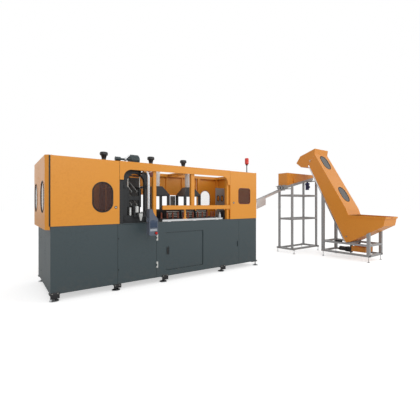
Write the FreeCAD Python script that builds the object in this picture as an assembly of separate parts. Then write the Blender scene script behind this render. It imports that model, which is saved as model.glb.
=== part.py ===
import FreeCAD, Part
import math
import os

# Linear stretch blow moulding machine with its preform feeder: chute, sorter and elevator.
# Lengths are in millimetres. The model is laid out in the machine's own frame: X runs along
# the front from the left end, Y from the front to the back, Z up from the floor. At the end
# every piece is moved so that the origin lies under the middle of the whole outline.

V = FreeCAD.Vector

# ---- enclosure ------------------------------------------------------------------------
BODY_LENGTH = 3930.0
BODY_DEPTH = 1426.0
ROOF_TOP = 2000.0
TABLE_TOP = 1028.0
TABLE_THICKNESS = 12.0
BASE_BOTTOM = 100.0
BASE_INSET = 8.0
SHEET = 3.0
PAN_DEPTH = 36.0
PAN_RIM = 30.0
SEAM = 4.0
BASE_TUBE = 80.0
FRAME_TUBE = 60.0
FRAME_INSET = 34.0
END_COVER_DEPTH = 54.0
END_COVER_CHAMFER = 52.0
COVER_DROP = 45.0

# ---- doors, windows and header --------------------------------------------------------
DOOR_THICKNESS = 25.0
DOOR_STILE = 34.0
LEFT_DOOR_START = 8.0
LEFT_DOOR_END = 945.0
RIGHT_DOOR_WIDTH = 736.0
DOOR_END_GAP = 8.0
DOOR_GAP = 5.0
HEADER_BOTTOM = 1875.0
HEADER_LEG = 62.0
HEADER_LEG_BOTTOM = 1712.0
HEADER_CORNER_RADIUS = 128.0
WINDOW_WIDTH = 288.0
WINDOW_BOTTOM = 1216.0
WINDOW_TOP = 1656.0
LEFT_WINDOW_X = 696.0
RIGHT_WINDOW_FROM_END = 360.0
RIGHT_WINDOW_WIDTH = 318.0
RIGHT_WINDOW_BOTTOM = 1340.0
RIGHT_WINDOW_TOP = 1651.0
RIGHT_WINDOW_RADIUS = 50.0
PANE = 5.0
PANE_LAP = 16.0
END_WINDOW_WIDTH = 347.0
END_WINDOW_Y = (306.0, 1120.0)
REAR_WINDOW_FROM_END = 370.0
VALANCE_BOTTOM = 1530.0
VALANCE_FOLD = 24.0
LOCK_DIAMETER = 24.0
LOCK_INSET = 55.0
LEFT_LOCK_Z = 1282.0
RIGHT_LOCK_INSET = 90.0
RIGHT_LOCK_Z = 1357.0
PIN_DIAMETER = 10.0
PIN_LENGTH = 18.0
PIN_EDGE = 12.0
PIN_SETBACK = 14.0
PIN_PLAY = 0.05
LIFT = 1.0

# ---- base doors and panels ------------------------------------------------------------
BASE_DOOR_START = 921.0
BASE_DOOR_END = 1574.0
BASE_RIGHT_WIDTH = 508.0
BASE_NOTCH = (40.0, 460.0, 580.0, 24.0)
HINGE_BARREL = 14.0
HINGE_LEAF = 26.0
HINGE_HEIGHT = 100.0
HINGE_CENTRES_Z = (772.0, 319.0)
HINGE_STANDOFF = 0.4
SERVICE_START = 1747.0
SERVICE_END = 2526.0
SERVICE_BOTTOM = 200.0
SERVICE_TOP = 847.0
SERVICE_RECESS = 14.0
SERVICE_THICKNESS = 18.0
LATCH_WIDTH = 64.0
LATCH_HEIGHT = 160.0
LATCH_Z = 530.0
LATCH_INSET = 40.0
LATCH_DEPTH = 9.0
LATCH_FLOOR = 3.0
LATCH_WALL = 6.0
LATCH_PADDLE = 5.0
LATCH_EYE = 10.0
LATCH_PIN = 5.0

# ---- feet -----------------------------------------------------------------------------
FOOT_POSITIONS = (63.0, 917.0, 1732.0, 3007.0)
FOOT_Y = 78.0
FOOT_PAD = 125.0
SMALL_FOOT_PAD = 60.0
FOOT_STEM = 24.0
FOOT_PLATE = 10.0
CORNER_FOOT_OUT = 36.0

# ---- front posts, beam and rail -------------------------------------------------------
POST_PLACES = (1526.0, 2277.0)
POST_WIDTHS = (55.0, 72.0, 60.0)
BEAM_START = 1685.0
BEAM_BOTTOM = 1236.0
BEAM_HEIGHT = 73.0
BEAM_DEPTH = 30.0
RAIL_START = 1685.0
RAIL_FROM_HEADER_END = 188.0
RAIL_RISE = 6.0
RAIL_HEIGHT = 32.0
RAIL_DEPTH = 40.0
STAND_X = 2160.0
STAND_WIDTH = 160.0
STAND_RISE = 60.0

# ---- roof -----------------------------------------------------------------------------
CAP_X = (913.0, 1790.0, 2510.0)
CAP_Y = 700.0
CAP_TOP = 2230.0
CAP_DIAMETER = 132.0
CROSSBAR_WIDTH = 44.0
CROSSBAR_DEPTH = 30.0
DUCT_BAR = 24.0
BLOWER_X = 1372.0
BLOWER_Y = 500.0
BLOWER_LENGTH = 165.0
BLOWER_TOP = 2196.0
BLOWER_PIPE = 36.0
BLOWER_PIPE_REACH = 203.0
SILENCER_LENGTH = 88.0
SILENCER_DIAMETER = 70.0
BEACON_FROM_END = 230.0
BEACON_Y = 64.0
BEACON_POLE = 20.0
BEACON_BOTTOM = 2176.0
BEACON_TOP = 2307.0
BEACON_DIAMETER = 80.0

# ---- oven -----------------------------------------------------------------------------
HOOD_CENTRES = (1925.0, 2655.0)
HOOD_Y = 740.0
HOOD_LENGTH = 394.0
HOOD_WIDTH = 366.0
HOOD_BOTTOM = 1510.0
HOOD_TOP = 1676.0
HOOD_LEG = 44.0
HOOD_LIP = 22.0
HOOD_COLLAR = 18.0
DUCT_DIAMETER = 136.0
DUCT_WALL = 4.0
DUCT_RIBS = 9
DUCT_END = 40.0
TRACK_Y_FRONT = 262.0
TRACK_RADIUS = 250.0
TRACK_START = 1660.0
TRACK_END = 3090.0
TRACK_WIDTH = 70.0
TRACK_RISE = 44.0
CARRIER_PITCH = 110.0
PREFORM_DIAMETER = 30.0
PREFORM_LENGTH = 96.0
LAMP_BANKS = 3
LAMP_GAP = 26.0
LAMP_BANK_DEPTH = 96.0
LAMP_BANK_RISE = 204.0
LAMP_ROWS = 4
LAMP_DIAMETER = 11.0

# ---- mould clamp ----------------------------------------------------------------------
CLAMP_LEFT = 1010.0
CLAMP_RIGHT = 1492.0
CLAMP_TOP = 1920.0
YOKE_THICKNESS = 70.0
YOKE_Y = 100.0
YOKE_LEG = 92.0
YOKE_FOOT = 120.0
MOULD_SPLIT_Y = 713.0
MOULD_THICKNESS = 110.0
MOULD_HEIGHT = 460.0
MOULD_RISE = 72.0
MOULD_INSET = 70.0
CAVITY_PITCH = 160.0
BOTTLE_RADIUS = 33.0
BOTTLE_NECK = 14.5
BOTTLE_SHOULDER = 60.0
BOTTLE_FOOT = 8.0
BOTTLE_EDGE = 5.0
BOTTLE_HEIGHT = 308.0
PLATEN_THICKNESS = 60.0
PLATEN_LIFT = 2.0
PLATEN_TOP = 1800.0
TIE_BAR_DROP = 180.0
TIE_BAR = 44.0
LINK_RISE = 160.0
LINK_REACH = 306.0
LINK_PIN = 20.0
LINK_PLAY = 4.0
LINK_UPPER_Z = 1700.0
LINK_SPACING = 220.0
LINK_THICKNESS = 18.0
LINK_EYE = 46.0
GUIDE_ROD = 20.0
CYLINDER_TOP = 1304.0
BED_HEIGHT = 30.0
VALVES = 7

# ---- stretch unit under the moulds ----------------------------------------------------
STRETCH_ROD = 14.0
STRETCH_REST_GAP = 10.0
STRETCH_BAR_Z = 480.0
STRETCH_BAR_HEIGHT = 40.0
STRETCH_GUIDE_SPREAD = 300.0
STRETCH_PLATE_Z = 400.0
STRETCH_CYLINDER_BOTTOM = 700.0

# ---- operator pendant -----------------------------------------------------------------
ARM_X = 1334.0
ARM_Y = 70.0
ARM_REACH = 270.0
ARM_TUBE = 44.0
ARM_SPIGOT = 40.0
ARM_SOCKET = 56.0
ARM_TOP = 1830.0
ARM_BOTTOM = 1255.0
PENDANT_WIDTH = 147.0
PENDANT_DEPTH = 100.0
PENDANT_FORWARD = 30.0
PENDANT_BOTTOM = 843.0
PENDANT_SHOULDER = 160.0
PENDANT_PLUG = (20.0, 209.0, 273.0)
STOP_DIAMETER = 40.0
STOP_TRAVEL = 5.0

# ---- chute and sorter -----------------------------------------------------------------
SORTER_OFFSET = 1840.0
SORTER_LENGTH = 1100.0
SORTER_TUBE = 48.0
SORTER_FRONT_Y = 480.0
SORTER_REAR_Y = 910.0
SORTER_RINGS = (95.0, 900.0, 1540.0)
FRONT_POST_RISE = (50.0, -25.0)
CROSSBAR_TALL = 24.0
WEDGE = 4.0
FEED_Y = 795.0
FEED_SLOPE = 13.0
ROLLER_DIAMETER = 60.0
ROLLER_GAP = 32.0
ROLLER_START_Z = 1800.0
ROLLER_SHAFT = 20.0
ROLLER_OVERHANG = (60.0, 90.0)
PULLEY = (48.0, 18.0, 60.0)
END_PLATE = 12.0
END_PLATE_LOW = -90.0
END_PLATE_HIGH = 60.0
RAIL_LOW = -38.0
RAIL_HIGH = 42.0
SORTER_RAIL = 30.0
TROUGH_TOP = 2180.0
TROUGH_EDGE = 34.0
TROUGH_DEPTH = 310.0
TROUGH_LENGTH = 1200.0
KNOB = (290.0, 108.0, 26.0, 110.0)
CHUTE_WIDTH = 74.0
CHUTE_HEIGHT = 60.0
CHUTE_WALL = 3.0
CHUTE_END_GAP = 2.0
CHUTE_ENTRY_Z = 1115.0
CHUTE_SLOPE = 18.14
CHUTE_NOTCH = (60.0, 15.0)
CHUTE_GUARD_START = 780.0
CHUTE_GUARD_LENGTH = 330.0
CHUTE_GUARD_DROP = 170.0
INFEED_FROM_END = 473.0
INFEED_WIDTH = 263.0
INFEED_TOP = 1700.0
INFEED_HOLES = (71.5, 186.5)
INFEED_HOLE_SIZE = (56.0, 120.0)
INFEED_HOLE_TOP = 1520.0
SORTER_MOTOR_X = 930.0
SORTER_MOTOR_DROP = 75.0
SORTER_MOTOR_LENGTH = 190.0

# ---- elevator -------------------------------------------------------------------------
ELEVATOR_OFFSET = 2270.0
ELEVATOR_WIDTH = 610.0
ELEVATOR_TUBE = 64.0
ELEVATOR_FRONT_Y = -1290.0
ELEVATOR_REAR_Y = -160.0
ELEVATOR_RING_Z = 120.0
ELEVATOR_MID_Z = 402.0
CASING_BACK = ((-757.0, 402.0), (280.0, 2410.0))
CASING_FRONT = ((95.0, 2664.0), (-764.0, 1213.0))
CASING_SKIRT = (-818.0, 1066.0)
CASING_HEEL = (-656.0, 1029.0)
HOPPER_TIP = (-1640.0, 1040.0)
HOPPER_KNEE = (-1601.0, 840.0)
HOPPER_TOE = (-870.0, 430.0)
HOPPER_RIM = 40.0
HOPPER_RIM_OUT = 12.0
HOOD_PROFILE = ((77.0, 2800.0), (537.0, 2650.0), (664.0, 2470.0), (506.0, 2345.0), (281.0, 2320.0))
CASING_WINDOW = (424.0, 300.0)
CASING_WINDOW_DROP = (262.0, 1000.0)
DRUM_DIAMETER = 120.0
DRUM_SETBACK = 92.0
TAIL_ALONG = 120.0
HEAD_ALONG = 2300.0
HOOD_LAP = 40.0
DRUM_SHAFT = 30.0
BELT = 6.0
BELT_CLEARANCE = 0.4
CLEAT = 45.0
CLEAT_PITCH = 300.0
GEARBOX = 120.0
GEARBOX_Y = -690.0
GEARBOX_Z = 210.0
GEARBOX_FROM_LEFT = 280.0
DRIVE_SHAFT = 25.0
DRIVE_MOTOR = 110.0
CHAIN_GUARD_WIDTH = 116.0
CHAIN_GUARD_DEPTH = 38.0
PAN_FRONT_Y = -1160.0
PAN_BACK_Y = -830.0
PAN_Z = (190.0, 305.0)

# ---- worked out from the above --------------------------------------------------------
TABLE_UNDERSIDE = TABLE_TOP - TABLE_THICKNESS
COVER_BOTTOM = TABLE_TOP - COVER_DROP
RIGHT_DOOR_START = BODY_LENGTH - DOOR_END_GAP - RIGHT_DOOR_WIDTH
HEADER_START = LEFT_DOOR_END + DOOR_GAP
HEADER_END = RIGHT_DOOR_START - DOOR_GAP
RIGHT_WINDOW_X = BODY_LENGTH - RIGHT_WINDOW_FROM_END
REAR_WINDOW_X = BODY_LENGTH - REAR_WINDOW_FROM_END
BASE_RIGHT_SEAM = BODY_LENGTH - BASE_RIGHT_WIDTH
POST_STARTS = POST_PLACES + (HEADER_END - POST_WIDTHS[2],)
RAIL_END = HEADER_END - RAIL_FROM_HEADER_END
RAIL_BOTTOM = TABLE_TOP + RAIL_RISE
BEACON_X = BODY_LENGTH - BEACON_FROM_END
TRACK_TOP = TABLE_TOP + TRACK_RISE
LAMP_BANK_TOP = TABLE_TOP + LAMP_BANK_RISE
MOULD_BOTTOM = TABLE_TOP + MOULD_RISE
PLATEN_BOTTOM = TABLE_TOP + BED_HEIGHT + PLATEN_LIFT
INFEED_START = BODY_LENGTH - INFEED_FROM_END
INFEED_END = INFEED_START + INFEED_WIDTH
RAIL_BASE_Z = ROOF_TOP - SHEET - FRAME_TUBE
FRAME_FRONT = FRAME_INSET
FRAME_REAR = BODY_DEPTH - FRAME_INSET
BASE_FRONT = BASE_INSET
BASE_REAR = BODY_DEPTH - BASE_INSET
BASE_LEFT = BASE_INSET
BASE_RIGHT = BODY_LENGTH - BASE_INSET
CLADDING_BOTTOM = TABLE_TOP + LIFT
CLADDING_TOP = ROOF_TOP - SHEET - LIFT
SORTER_X = BODY_LENGTH + SORTER_OFFSET
ELEVATOR_X = BODY_LENGTH + ELEVATOR_OFFSET
TAN_FEED = math.tan(math.radians(FEED_SLOPE))
TAN_CHUTE = math.tan(math.radians(CHUTE_SLOPE))
CHUTE_END_INSIDE = (CHUTE_ENTRY_Z - TABLE_TOP - CHUTE_END_GAP) / TAN_CHUTE
LINK_LENGTH = math.hypot(LINK_REACH, LINK_RISE)
PLATEN_FRONT_Y = MOULD_SPLIT_Y - MOULD_THICKNESS - PLATEN_THICKNESS
ELEVATOR_THIN = ELEVATOR_TUBE * 0.7


# ---- shape helpers --------------------------------------------------------------------
def box(x0, x1, y0, y1, z0, z1):
    return Part.makeBox(x1 - x0, y1 - y0, z1 - z0, V(x0, y0, z0))


def rod(start, direction, length, diameter):
    return Part.makeCylinder(diameter / 2, length, V(*start), V(*direction))


def tube_ring(start, direction, length, outer, inner):
    return rod(start, direction, length, outer).cut(rod(start, direction, length, inner))


def face_of(points):
    return Part.Face(Part.makePolygon([V(*p) for p in points] + [V(*points[0])]))


def prism_x(outline, x0, x1):
    return face_of([(x0, y, z) for y, z in outline]).extrude(V(x1 - x0, 0, 0))


def prism_y(outline, y0, y1):
    return face_of([(x, y0, z) for x, z in outline]).extrude(V(0, y1 - y0, 0))


def prism_z(outline, z0, z1):
    return face_of([(x, y, z0) for x, y in outline]).extrude(V(0, 0, z1 - z0))


def turned(profile, centre, angle=360.0):
    """A turned piece: profile points are (radius, height) above the centre point."""
    points = [V(r, 0, z) for r, z in profile]
    face = Part.Face(Part.makePolygon(points + [points[0]]))
    piece = face.revolve(V(0, 0, 0), V(0, 0, 1), angle)
    piece.translate(V(*centre))
    return piece


def offset_outline(outline, insets):
    """Each edge i of an outline moved inwards by insets[i]; a negative value moves it outwards."""
    area = sum(a[0] * b[1] - b[0] * a[1] for a, b in zip(outline, outline[1:] + outline[:1]))
    side = 1.0 if area > 0 else -1.0
    lines = []
    for i, (a, b) in enumerate(zip(outline, outline[1:] + outline[:1])):
        length = math.hypot(b[0] - a[0], b[1] - a[1])
        u = ((b[0] - a[0]) / length, (b[1] - a[1]) / length)
        n = (-u[1] * side, u[0] * side)
        lines.append(((a[0] + n[0] * insets[i], a[1] + n[1] * insets[i]), u))
    moved = []
    for (p, u), (q, w) in zip(lines[-1:] + lines[:-1], lines):
        cross = u[0] * w[1] - u[1] * w[0]
        t = ((q[0] - p[0]) * w[1] - (q[1] - p[1]) * w[0]) / cross
        moved.append((p[0] + u[0] * t, p[1] + u[1] * t))
    return moved


def rounded_slot(centre_a, low, high, width, axis, start, depth):
    """A stadium shape standing upright: axis 'y' lies in the front, 'x' in an end panel."""
    r = width / 2
    mid = [(centre_a, low + r), (centre_a, high - r)]
    if axis == "y":
        body = box(centre_a - r, centre_a + r, start, start + depth, low + r, high - r)
        ends = [rod((a, start, z), (0, 1, 0), depth, width) for a, z in mid]
    else:
        body = box(start, start + depth, centre_a - r, centre_a + r, low + r, high - r)
        ends = [rod((start, a, z), (1, 0, 0), depth, width) for a, z in mid]
    return body.fuse(ends).removeSplitter()


def rounded_window(x0, x1, z0, z1, radius, y0, depth):
    block = box(x0, x1, y0, y0 + depth, z0, z1)
    upright = [e for e in block.Edges if abs(e.Vertexes[0].Y - e.Vertexes[-1].Y) > depth / 2]
    return block.makeFillet(radius, upright)


def compound(pieces):
    return Part.makeCompound(pieces)


def mirrored_y(shape, plane_y):
    return shape.mirror(V(0, plane_y, 0), V(0, 1, 0))


# ---- base -----------------------------------------------------------------------------
def base_posts_x():
    last = BASE_RIGHT - PAN_DEPTH - BASE_TUBE
    inner = [x - BASE_TUBE / 2 for x in FOOT_POSITIONS[1:]]
    return [BASE_LEFT + PAN_DEPTH] + inner + [last]


def base_frame():
    """Welded tubes butted together, with a plate under each foot."""
    x0, x1 = BASE_LEFT + PAN_DEPTH, BASE_RIGHT - PAN_DEPTH
    y0, y1 = BASE_FRONT + PAN_DEPTH, BASE_REAR - PAN_DEPTH
    low, high = BASE_BOTTOM, TABLE_UNDERSIDE
    pieces = []
    for z in (low, high - BASE_TUBE):
        for y in (y0, y1 - BASE_TUBE):
            pieces.append(box(x0, x1, y, y + BASE_TUBE, z, z + BASE_TUBE))
        for x in base_posts_x():
            pieces.append(box(x, x + BASE_TUBE, y0 + BASE_TUBE, y1 - BASE_TUBE, z, z + BASE_TUBE))
    for x in base_posts_x():
        for y in (y0, y1 - BASE_TUBE):
            pieces.append(box(x, x + BASE_TUBE, y, y + BASE_TUBE, low + BASE_TUBE, high - BASE_TUBE))
    return compound(pieces + foot_plates())


def foot_centres():
    """The machine's ten feet; the right-hand corner feet stand a little outside."""
    rows = [(x, FOOT_Y) for x in FOOT_POSITIONS]
    rows.append((BODY_LENGTH + CORNER_FOOT_OUT, FOOT_Y))
    return rows + [(x, BODY_DEPTH - y) for x, y in rows]


def foot_plates():
    """A plate under the frame carries each foot; at the right corners it is a gusset."""
    plates = []
    top, half = BASE_BOTTOM, FOOT_PAD / 2
    for x, y in foot_centres():
        inner = y + half if y < BODY_DEPTH / 2 else y - half
        outer = y - half if y < BODY_DEPTH / 2 else y + half
        if x > BODY_LENGTH:
            corner = BASE_RIGHT - PAN_DEPTH - BASE_TUBE
            outline = [(corner, outer), (x, outer), (x + half, y), (x + half, inner), (corner, inner)]
        else:
            outline = [(x - half, inner), (x - half, outer), (x + half, outer), (x + half, inner)]
        plates.append(prism_z(outline, top - FOOT_PLATE, top))
    return plates


def table_plate():
    """The steel table, with the lower pivot pins of both upper doors standing on it."""
    plate = box(BASE_LEFT, BASE_RIGHT, BASE_FRONT, BASE_REAR, TABLE_UNDERSIDE, TABLE_TOP)
    for x in mould_centres():
        plate = plate.cut(rod((x, MOULD_SPLIT_Y, TABLE_UNDERSIDE - 1), (0, 0, 1), TABLE_THICKNESS + 2,
                              STRETCH_ROD + 2 * PIN_PLAY))
    pins = [rod((x, PIN_SETBACK, TABLE_TOP), (0, 0, 1), PIN_LENGTH, PIN_DIAMETER)
            for x in (left_door_axis_x(), right_door_axis_x())]
    return compound([plate] + pins)


def pan(x0, x1, z0, z1, y0, depth, rim):
    """A folded panel facing the front: a skin with a stiff rim behind its edges."""
    slab = box(x0, x1, y0, y0 + depth, z0, z1)
    pocket = box(x0 + rim, x1 - rim, y0 + SHEET, y0 + depth, z0 + rim, z1 - rim)
    return slab.cut(pocket)


def side_pan(y0, y1, z0, z1, x0, direction):
    """The same panel facing an end of the machine; direction is 1 towards +X."""
    depth = PAN_DEPTH * direction
    slab = box(min(x0, x0 + depth), max(x0, x0 + depth), y0, y1, z0, z1)
    skin = x0 + SHEET * direction
    pocket = box(min(skin, x0 + depth), max(skin, x0 + depth), y0 + PAN_RIM, y1 - PAN_RIM,
                 z0 + PAN_RIM, z1 - PAN_RIM)
    return slab.cut(pocket)


def service_opening(y0, depth):
    return box(SERVICE_START, SERVICE_END, y0, y0 + depth, SERVICE_BOTTOM, SERVICE_TOP)


def base_panels():
    """Fixed folded panels round the base: three in front, one at each end, four at the rear."""
    low, high = BASE_BOTTOM + SEAM, TABLE_UNDERSIDE
    half = SEAM / 2
    left = pan(BASE_LEFT, BASE_DOOR_START - half, low, high, BASE_FRONT, PAN_DEPTH, PAN_RIM)
    jamb = [box(SERVICE_START - PAN_RIM, SERVICE_END + PAN_RIM, BASE_FRONT + SHEET,
                BASE_FRONT + PAN_DEPTH, SERVICE_BOTTOM - PAN_RIM, SERVICE_TOP + PAN_RIM)]
    middle = pan(BASE_DOOR_END + half, BASE_RIGHT_SEAM - half, low, high, BASE_FRONT, PAN_DEPTH,
                 PAN_RIM).fuse(jamb).cut(service_opening(BASE_FRONT, PAN_DEPTH))
    pins = [rod((service_axis_x(), service_axis_y(), z), (0, 0, 1), PIN_LENGTH, PIN_DIAMETER)
            for z in (SERVICE_BOTTOM, SERVICE_TOP - PIN_LENGTH)]
    right = pan(BASE_RIGHT_SEAM + half, BASE_RIGHT, low, high, BASE_FRONT, PAN_DEPTH, PAN_RIM)
    setback, notch_low, notch_high, notch_width = BASE_NOTCH
    notch = [rounded_slot(BASE_RIGHT_SEAM - setback, notch_low, notch_high, notch_width, "y", BASE_FRONT,
                          SHEET)]
    y0, y1 = BASE_FRONT + PAN_DEPTH, BASE_REAR - PAN_DEPTH
    ends = [side_pan(y0, y1, low, high, BASE_LEFT, 1), side_pan(y0, y1, low, high, BASE_RIGHT, -1)]
    rear = []
    edges = [BASE_LEFT] + [x for x in FOOT_POSITIONS[1:]] + [BASE_RIGHT]
    for a, b in zip(edges, edges[1:]):
        front_copy = pan(a + half, b - half, low, high, BASE_FRONT, PAN_DEPTH, PAN_RIM)
        rear.append(mirrored_y(front_copy, BODY_DEPTH / 2))
    return compound([left, middle.cut(notch)] + pins + [right] + ends + rear)


def base_door():
    """Hinged door in the base, with the two leaves that its hinges turn on."""
    low, high = BASE_BOTTOM + SEAM, TABLE_UNDERSIDE - SEAM
    door = pan(BASE_DOOR_START + SEAM / 2, BASE_DOOR_END - SEAM / 2, low, high, BASE_FRONT,
               PAN_DEPTH - LIFT, PAN_RIM)
    leaves = []
    for z in HINGE_CENTRES_Z:
        x = BASE_DOOR_END
        barrel_y = hinge_axis_y()
        leaf = box(x - HINGE_LEAF, x, BASE_FRONT - SHEET, BASE_FRONT, z - HINGE_HEIGHT / 2,
                   z + HINGE_HEIGHT / 2)
        knuckle = rod((x, barrel_y, z - HINGE_HEIGHT / 6), (0, 0, 1), HINGE_HEIGHT / 3, HINGE_BARREL)
        hole = rod((x, barrel_y, z - HINGE_HEIGHT), (0, 0, 1), 2 * HINGE_HEIGHT, hinge_pin() + 2 * PIN_PLAY)
        clear = rod((x, barrel_y, z - HINGE_HEIGHT), (0, 0, 1), 2 * HINGE_HEIGHT, HINGE_BARREL + 2 * LIFT)
        leaves.append(leaf.cut(clear).fuse(knuckle_web(x, z, -1)).fuse(knuckle).cut(hole))
    return compound([door] + leaves)


def hinge_pin():
    return HINGE_BARREL / 2


def hinge_axis_y():
    return BASE_FRONT - HINGE_BARREL / 2 - HINGE_STANDOFF


def knuckle_web(x, z, side):
    """The strip that joins a hinge's middle knuckle, or its outer ones, to the leaf."""
    third = HINGE_HEIGHT / 6
    reach = side * HINGE_LEAF / 2
    x0, x1 = min(x, x + reach), max(x, x + reach)
    return box(x0, x1, BASE_FRONT - SHEET, BASE_FRONT, z - third, z + third)


def base_door_hinges():
    """The fixed halves of the base door's hinges: leaf, two knuckles and the pin."""
    pieces = []
    for z in HINGE_CENTRES_Z:
        x, barrel_y = BASE_DOOR_END, hinge_axis_y()
        third = HINGE_HEIGHT / 3
        gap = LIFT / 2
        leaf = box(x + HINGE_BARREL / 2 + LIFT, x + HINGE_LEAF, BASE_FRONT - SHEET, BASE_FRONT,
                   z - HINGE_HEIGHT / 2, z + HINGE_HEIGHT / 2)
        part = leaf
        for start in (z - HINGE_HEIGHT / 2, z + third / 2 + gap):
            part = part.fuse(box(x, x + HINGE_LEAF / 2 + SHEET, BASE_FRONT - SHEET, BASE_FRONT, start,
                                 start + third - gap))
            part = part.fuse(rod((x, barrel_y, start), (0, 0, 1), third - gap, HINGE_BARREL))
        part = part.fuse(rod((x, barrel_y, z - HINGE_HEIGHT / 2), (0, 0, 1), HINGE_HEIGHT, hinge_pin()))
        pieces.append(part)
    return compound(pieces)


def service_axis_x():
    return SERVICE_END - SEAM - PIN_EDGE


def service_axis_y():
    return BASE_FRONT + SERVICE_RECESS + SERVICE_THICKNESS / 2


def latch_x():
    return SERVICE_START + SEAM + LATCH_INSET


def latch_oval(inset, y0, depth):
    """The latch's oval outline, drawn in by an inset on every side."""
    return rounded_slot(latch_x(), LATCH_Z - LATCH_HEIGHT / 2 + inset, LATCH_Z + LATCH_HEIGHT / 2 - inset,
                        LATCH_WIDTH - 2 * inset, "y", y0, depth)


def service_door():
    """Recessed door on hidden pins, with the oval bezel of its latch let into it."""
    y0 = BASE_FRONT + SERVICE_RECESS
    door = pan(SERVICE_START + SEAM, SERVICE_END - SEAM, SERVICE_BOTTOM + SEAM, SERVICE_TOP - SEAM,
               y0, SERVICE_THICKNESS, 2 * LATCH_INSET + SEAM)
    door = door.cut(latch_oval(0.0, y0 - LIFT, SERVICE_THICKNESS + 2 * LIFT))
    for z in (SERVICE_BOTTOM, SERVICE_TOP - PIN_LENGTH):
        door = door.cut(rod((service_axis_x(), service_axis_y(), z - LIFT), (0, 0, 1),
                            PIN_LENGTH + 2 * LIFT, PIN_DIAMETER + 2 * PIN_PLAY))
    bezel = latch_oval(0.0, y0 - SHEET, SHEET + LATCH_DEPTH + LATCH_FLOOR)
    bezel = bezel.cut(latch_oval(LATCH_WALL, y0 - SHEET, SHEET + LATCH_DEPTH))
    span = LATCH_WIDTH - 2 * LATCH_WALL
    pin = rod((latch_x() - span / 2, latch_pivot_y(), latch_pivot_z()), (1, 0, 0), span, LATCH_PIN)
    return compound([door, bezel.fuse(pin)])


def latch_pivot_z():
    return LATCH_Z + LATCH_HEIGHT / 2 - LATCH_WIDTH / 2


def latch_pivot_y():
    return BASE_FRONT + SERVICE_RECESS + LATCH_DEPTH - LATCH_EYE / 2 - LIFT


def latch_lever():
    """The paddle in the bezel, which is pulled outwards at its lower end."""
    width = LATCH_WIDTH / 2
    y0 = latch_pivot_y() - LATCH_EYE / 2
    low = LATCH_Z - LATCH_HEIGHT / 2 + LATCH_WIDTH / 3
    paddle = rounded_slot(latch_x(), low, latch_pivot_z() + LATCH_EYE / 3, width, "y", y0, LATCH_PADDLE)
    eye = rod((latch_x() - width / 2, latch_pivot_y(), latch_pivot_z()), (1, 0, 0), width, LATCH_EYE)
    hole = rod((latch_x() - width, latch_pivot_y(), latch_pivot_z()), (1, 0, 0), 2 * width,
               LATCH_PIN + 2 * PIN_PLAY)
    return paddle.fuse(eye).cut(hole)


# ---- feet -----------------------------------------------------------------------------
def levelling_foot(x, y, top):
    """A round pad with a threaded stem and a lock nut under the piece that it carries."""
    r = FOOT_PAD / 2
    stem = FOOT_STEM / 2
    pad = [(0, 0), (r, 0), (r, 8), (stem, 30), (stem, top), (0, top)]
    foot = turned(pad, (x, y, 0))
    size = FOOT_STEM * 0.9
    corners = [(x + size * math.cos(k * math.pi / 3), y + size * math.sin(k * math.pi / 3))
               for k in range(6)]
    nut = prism_z(corners, top - FOOT_STEM * 0.7, top)
    return foot.fuse(nut)


def levelling_feet():
    feet = [levelling_foot(x, y, BASE_BOTTOM - FOOT_PLATE) for x, y in foot_centres()]
    return compound(feet + [small_foot(x, y, z) for x, y, z in feeder_foot_points()])


def small_foot(x, y, top):
    r = SMALL_FOOT_PAD / 2
    stem = 0.3 * FOOT_STEM
    return turned([(0, 0), (r, 0), (r, 5), (stem, 20), (stem, top), (0, top)], (x, y, 0))


# ---- upper frame and cladding ---------------------------------------------------------
def left_door_axis_x():
    return LEFT_DOOR_START + PIN_EDGE


def right_door_axis_x():
    return BODY_LENGTH - DOOR_END_GAP - PIN_EDGE


def upper_frame():
    """Tubes of the upper frame, the roof bars, the upper door pivots and the beam's stand."""
    t = FRAME_TUBE
    pieces = []
    ends = (0.0, BODY_LENGTH - SHEET - t)
    for x in ends:
        pieces.append(box(x, x + t, FRAME_FRONT, FRAME_FRONT + t, TABLE_TOP, RAIL_BASE_Z))
    for x in (ends[0], rear_left_end(), rear_right_start() - t, ends[1]):
        pieces.append(box(x, x + t, FRAME_REAR - t, FRAME_REAR, TABLE_TOP, RAIL_BASE_Z))
    for y in (FRAME_FRONT, FRAME_REAR - t):
        pieces.append(box(0, BODY_LENGTH - SHEET, y, y + t, RAIL_BASE_Z, RAIL_BASE_Z + t))
    for x in ends:
        pieces.append(box(x, x + t, FRAME_FRONT + t, FRAME_REAR - t, RAIL_BASE_Z, RAIL_BASE_Z + t))
    return compound(pieces + roof_bars() + door_brackets() + [beam_stand(), pendant_bracket()])


def roof_bars():
    """Flat bars across the roof: one under each cap and the blower, one on each side of a duct."""
    y0, y1 = FRAME_FRONT + FRAME_TUBE, FRAME_REAR - FRAME_TUBE
    top = RAIL_BASE_Z + FRAME_TUBE
    spans = [(x - CROSSBAR_WIDTH / 2, x + CROSSBAR_WIDTH / 2) for x in CAP_X + (BLOWER_X,)]
    for x in HOOD_CENTRES:
        for side in (-1, 1):
            edge = x + side * DUCT_DIAMETER / 2
            a, b = sorted((edge, edge + side * DUCT_BAR))
            if all(b <= low or a >= high for low, high in spans):
                spans.append((a, b))
    return [box(a, b, y0, y1, top - CROSSBAR_DEPTH, top) for a, b in spans]


def door_brackets():
    """Plates on the front rail that hold the upper pivot pins of both doors."""
    pieces = []
    top = ROOF_TOP - SHEET
    for x in (left_door_axis_x(), right_door_axis_x()):
        pieces.append(box(x - PIN_EDGE, x + PIN_EDGE, SHEET, FRAME_FRONT + FRAME_TUBE, top, ROOF_TOP))
        pieces.append(rod((x, PIN_SETBACK, top - PIN_LENGTH), (0, 0, 1), PIN_LENGTH, PIN_DIAMETER))
    return pieces


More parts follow.
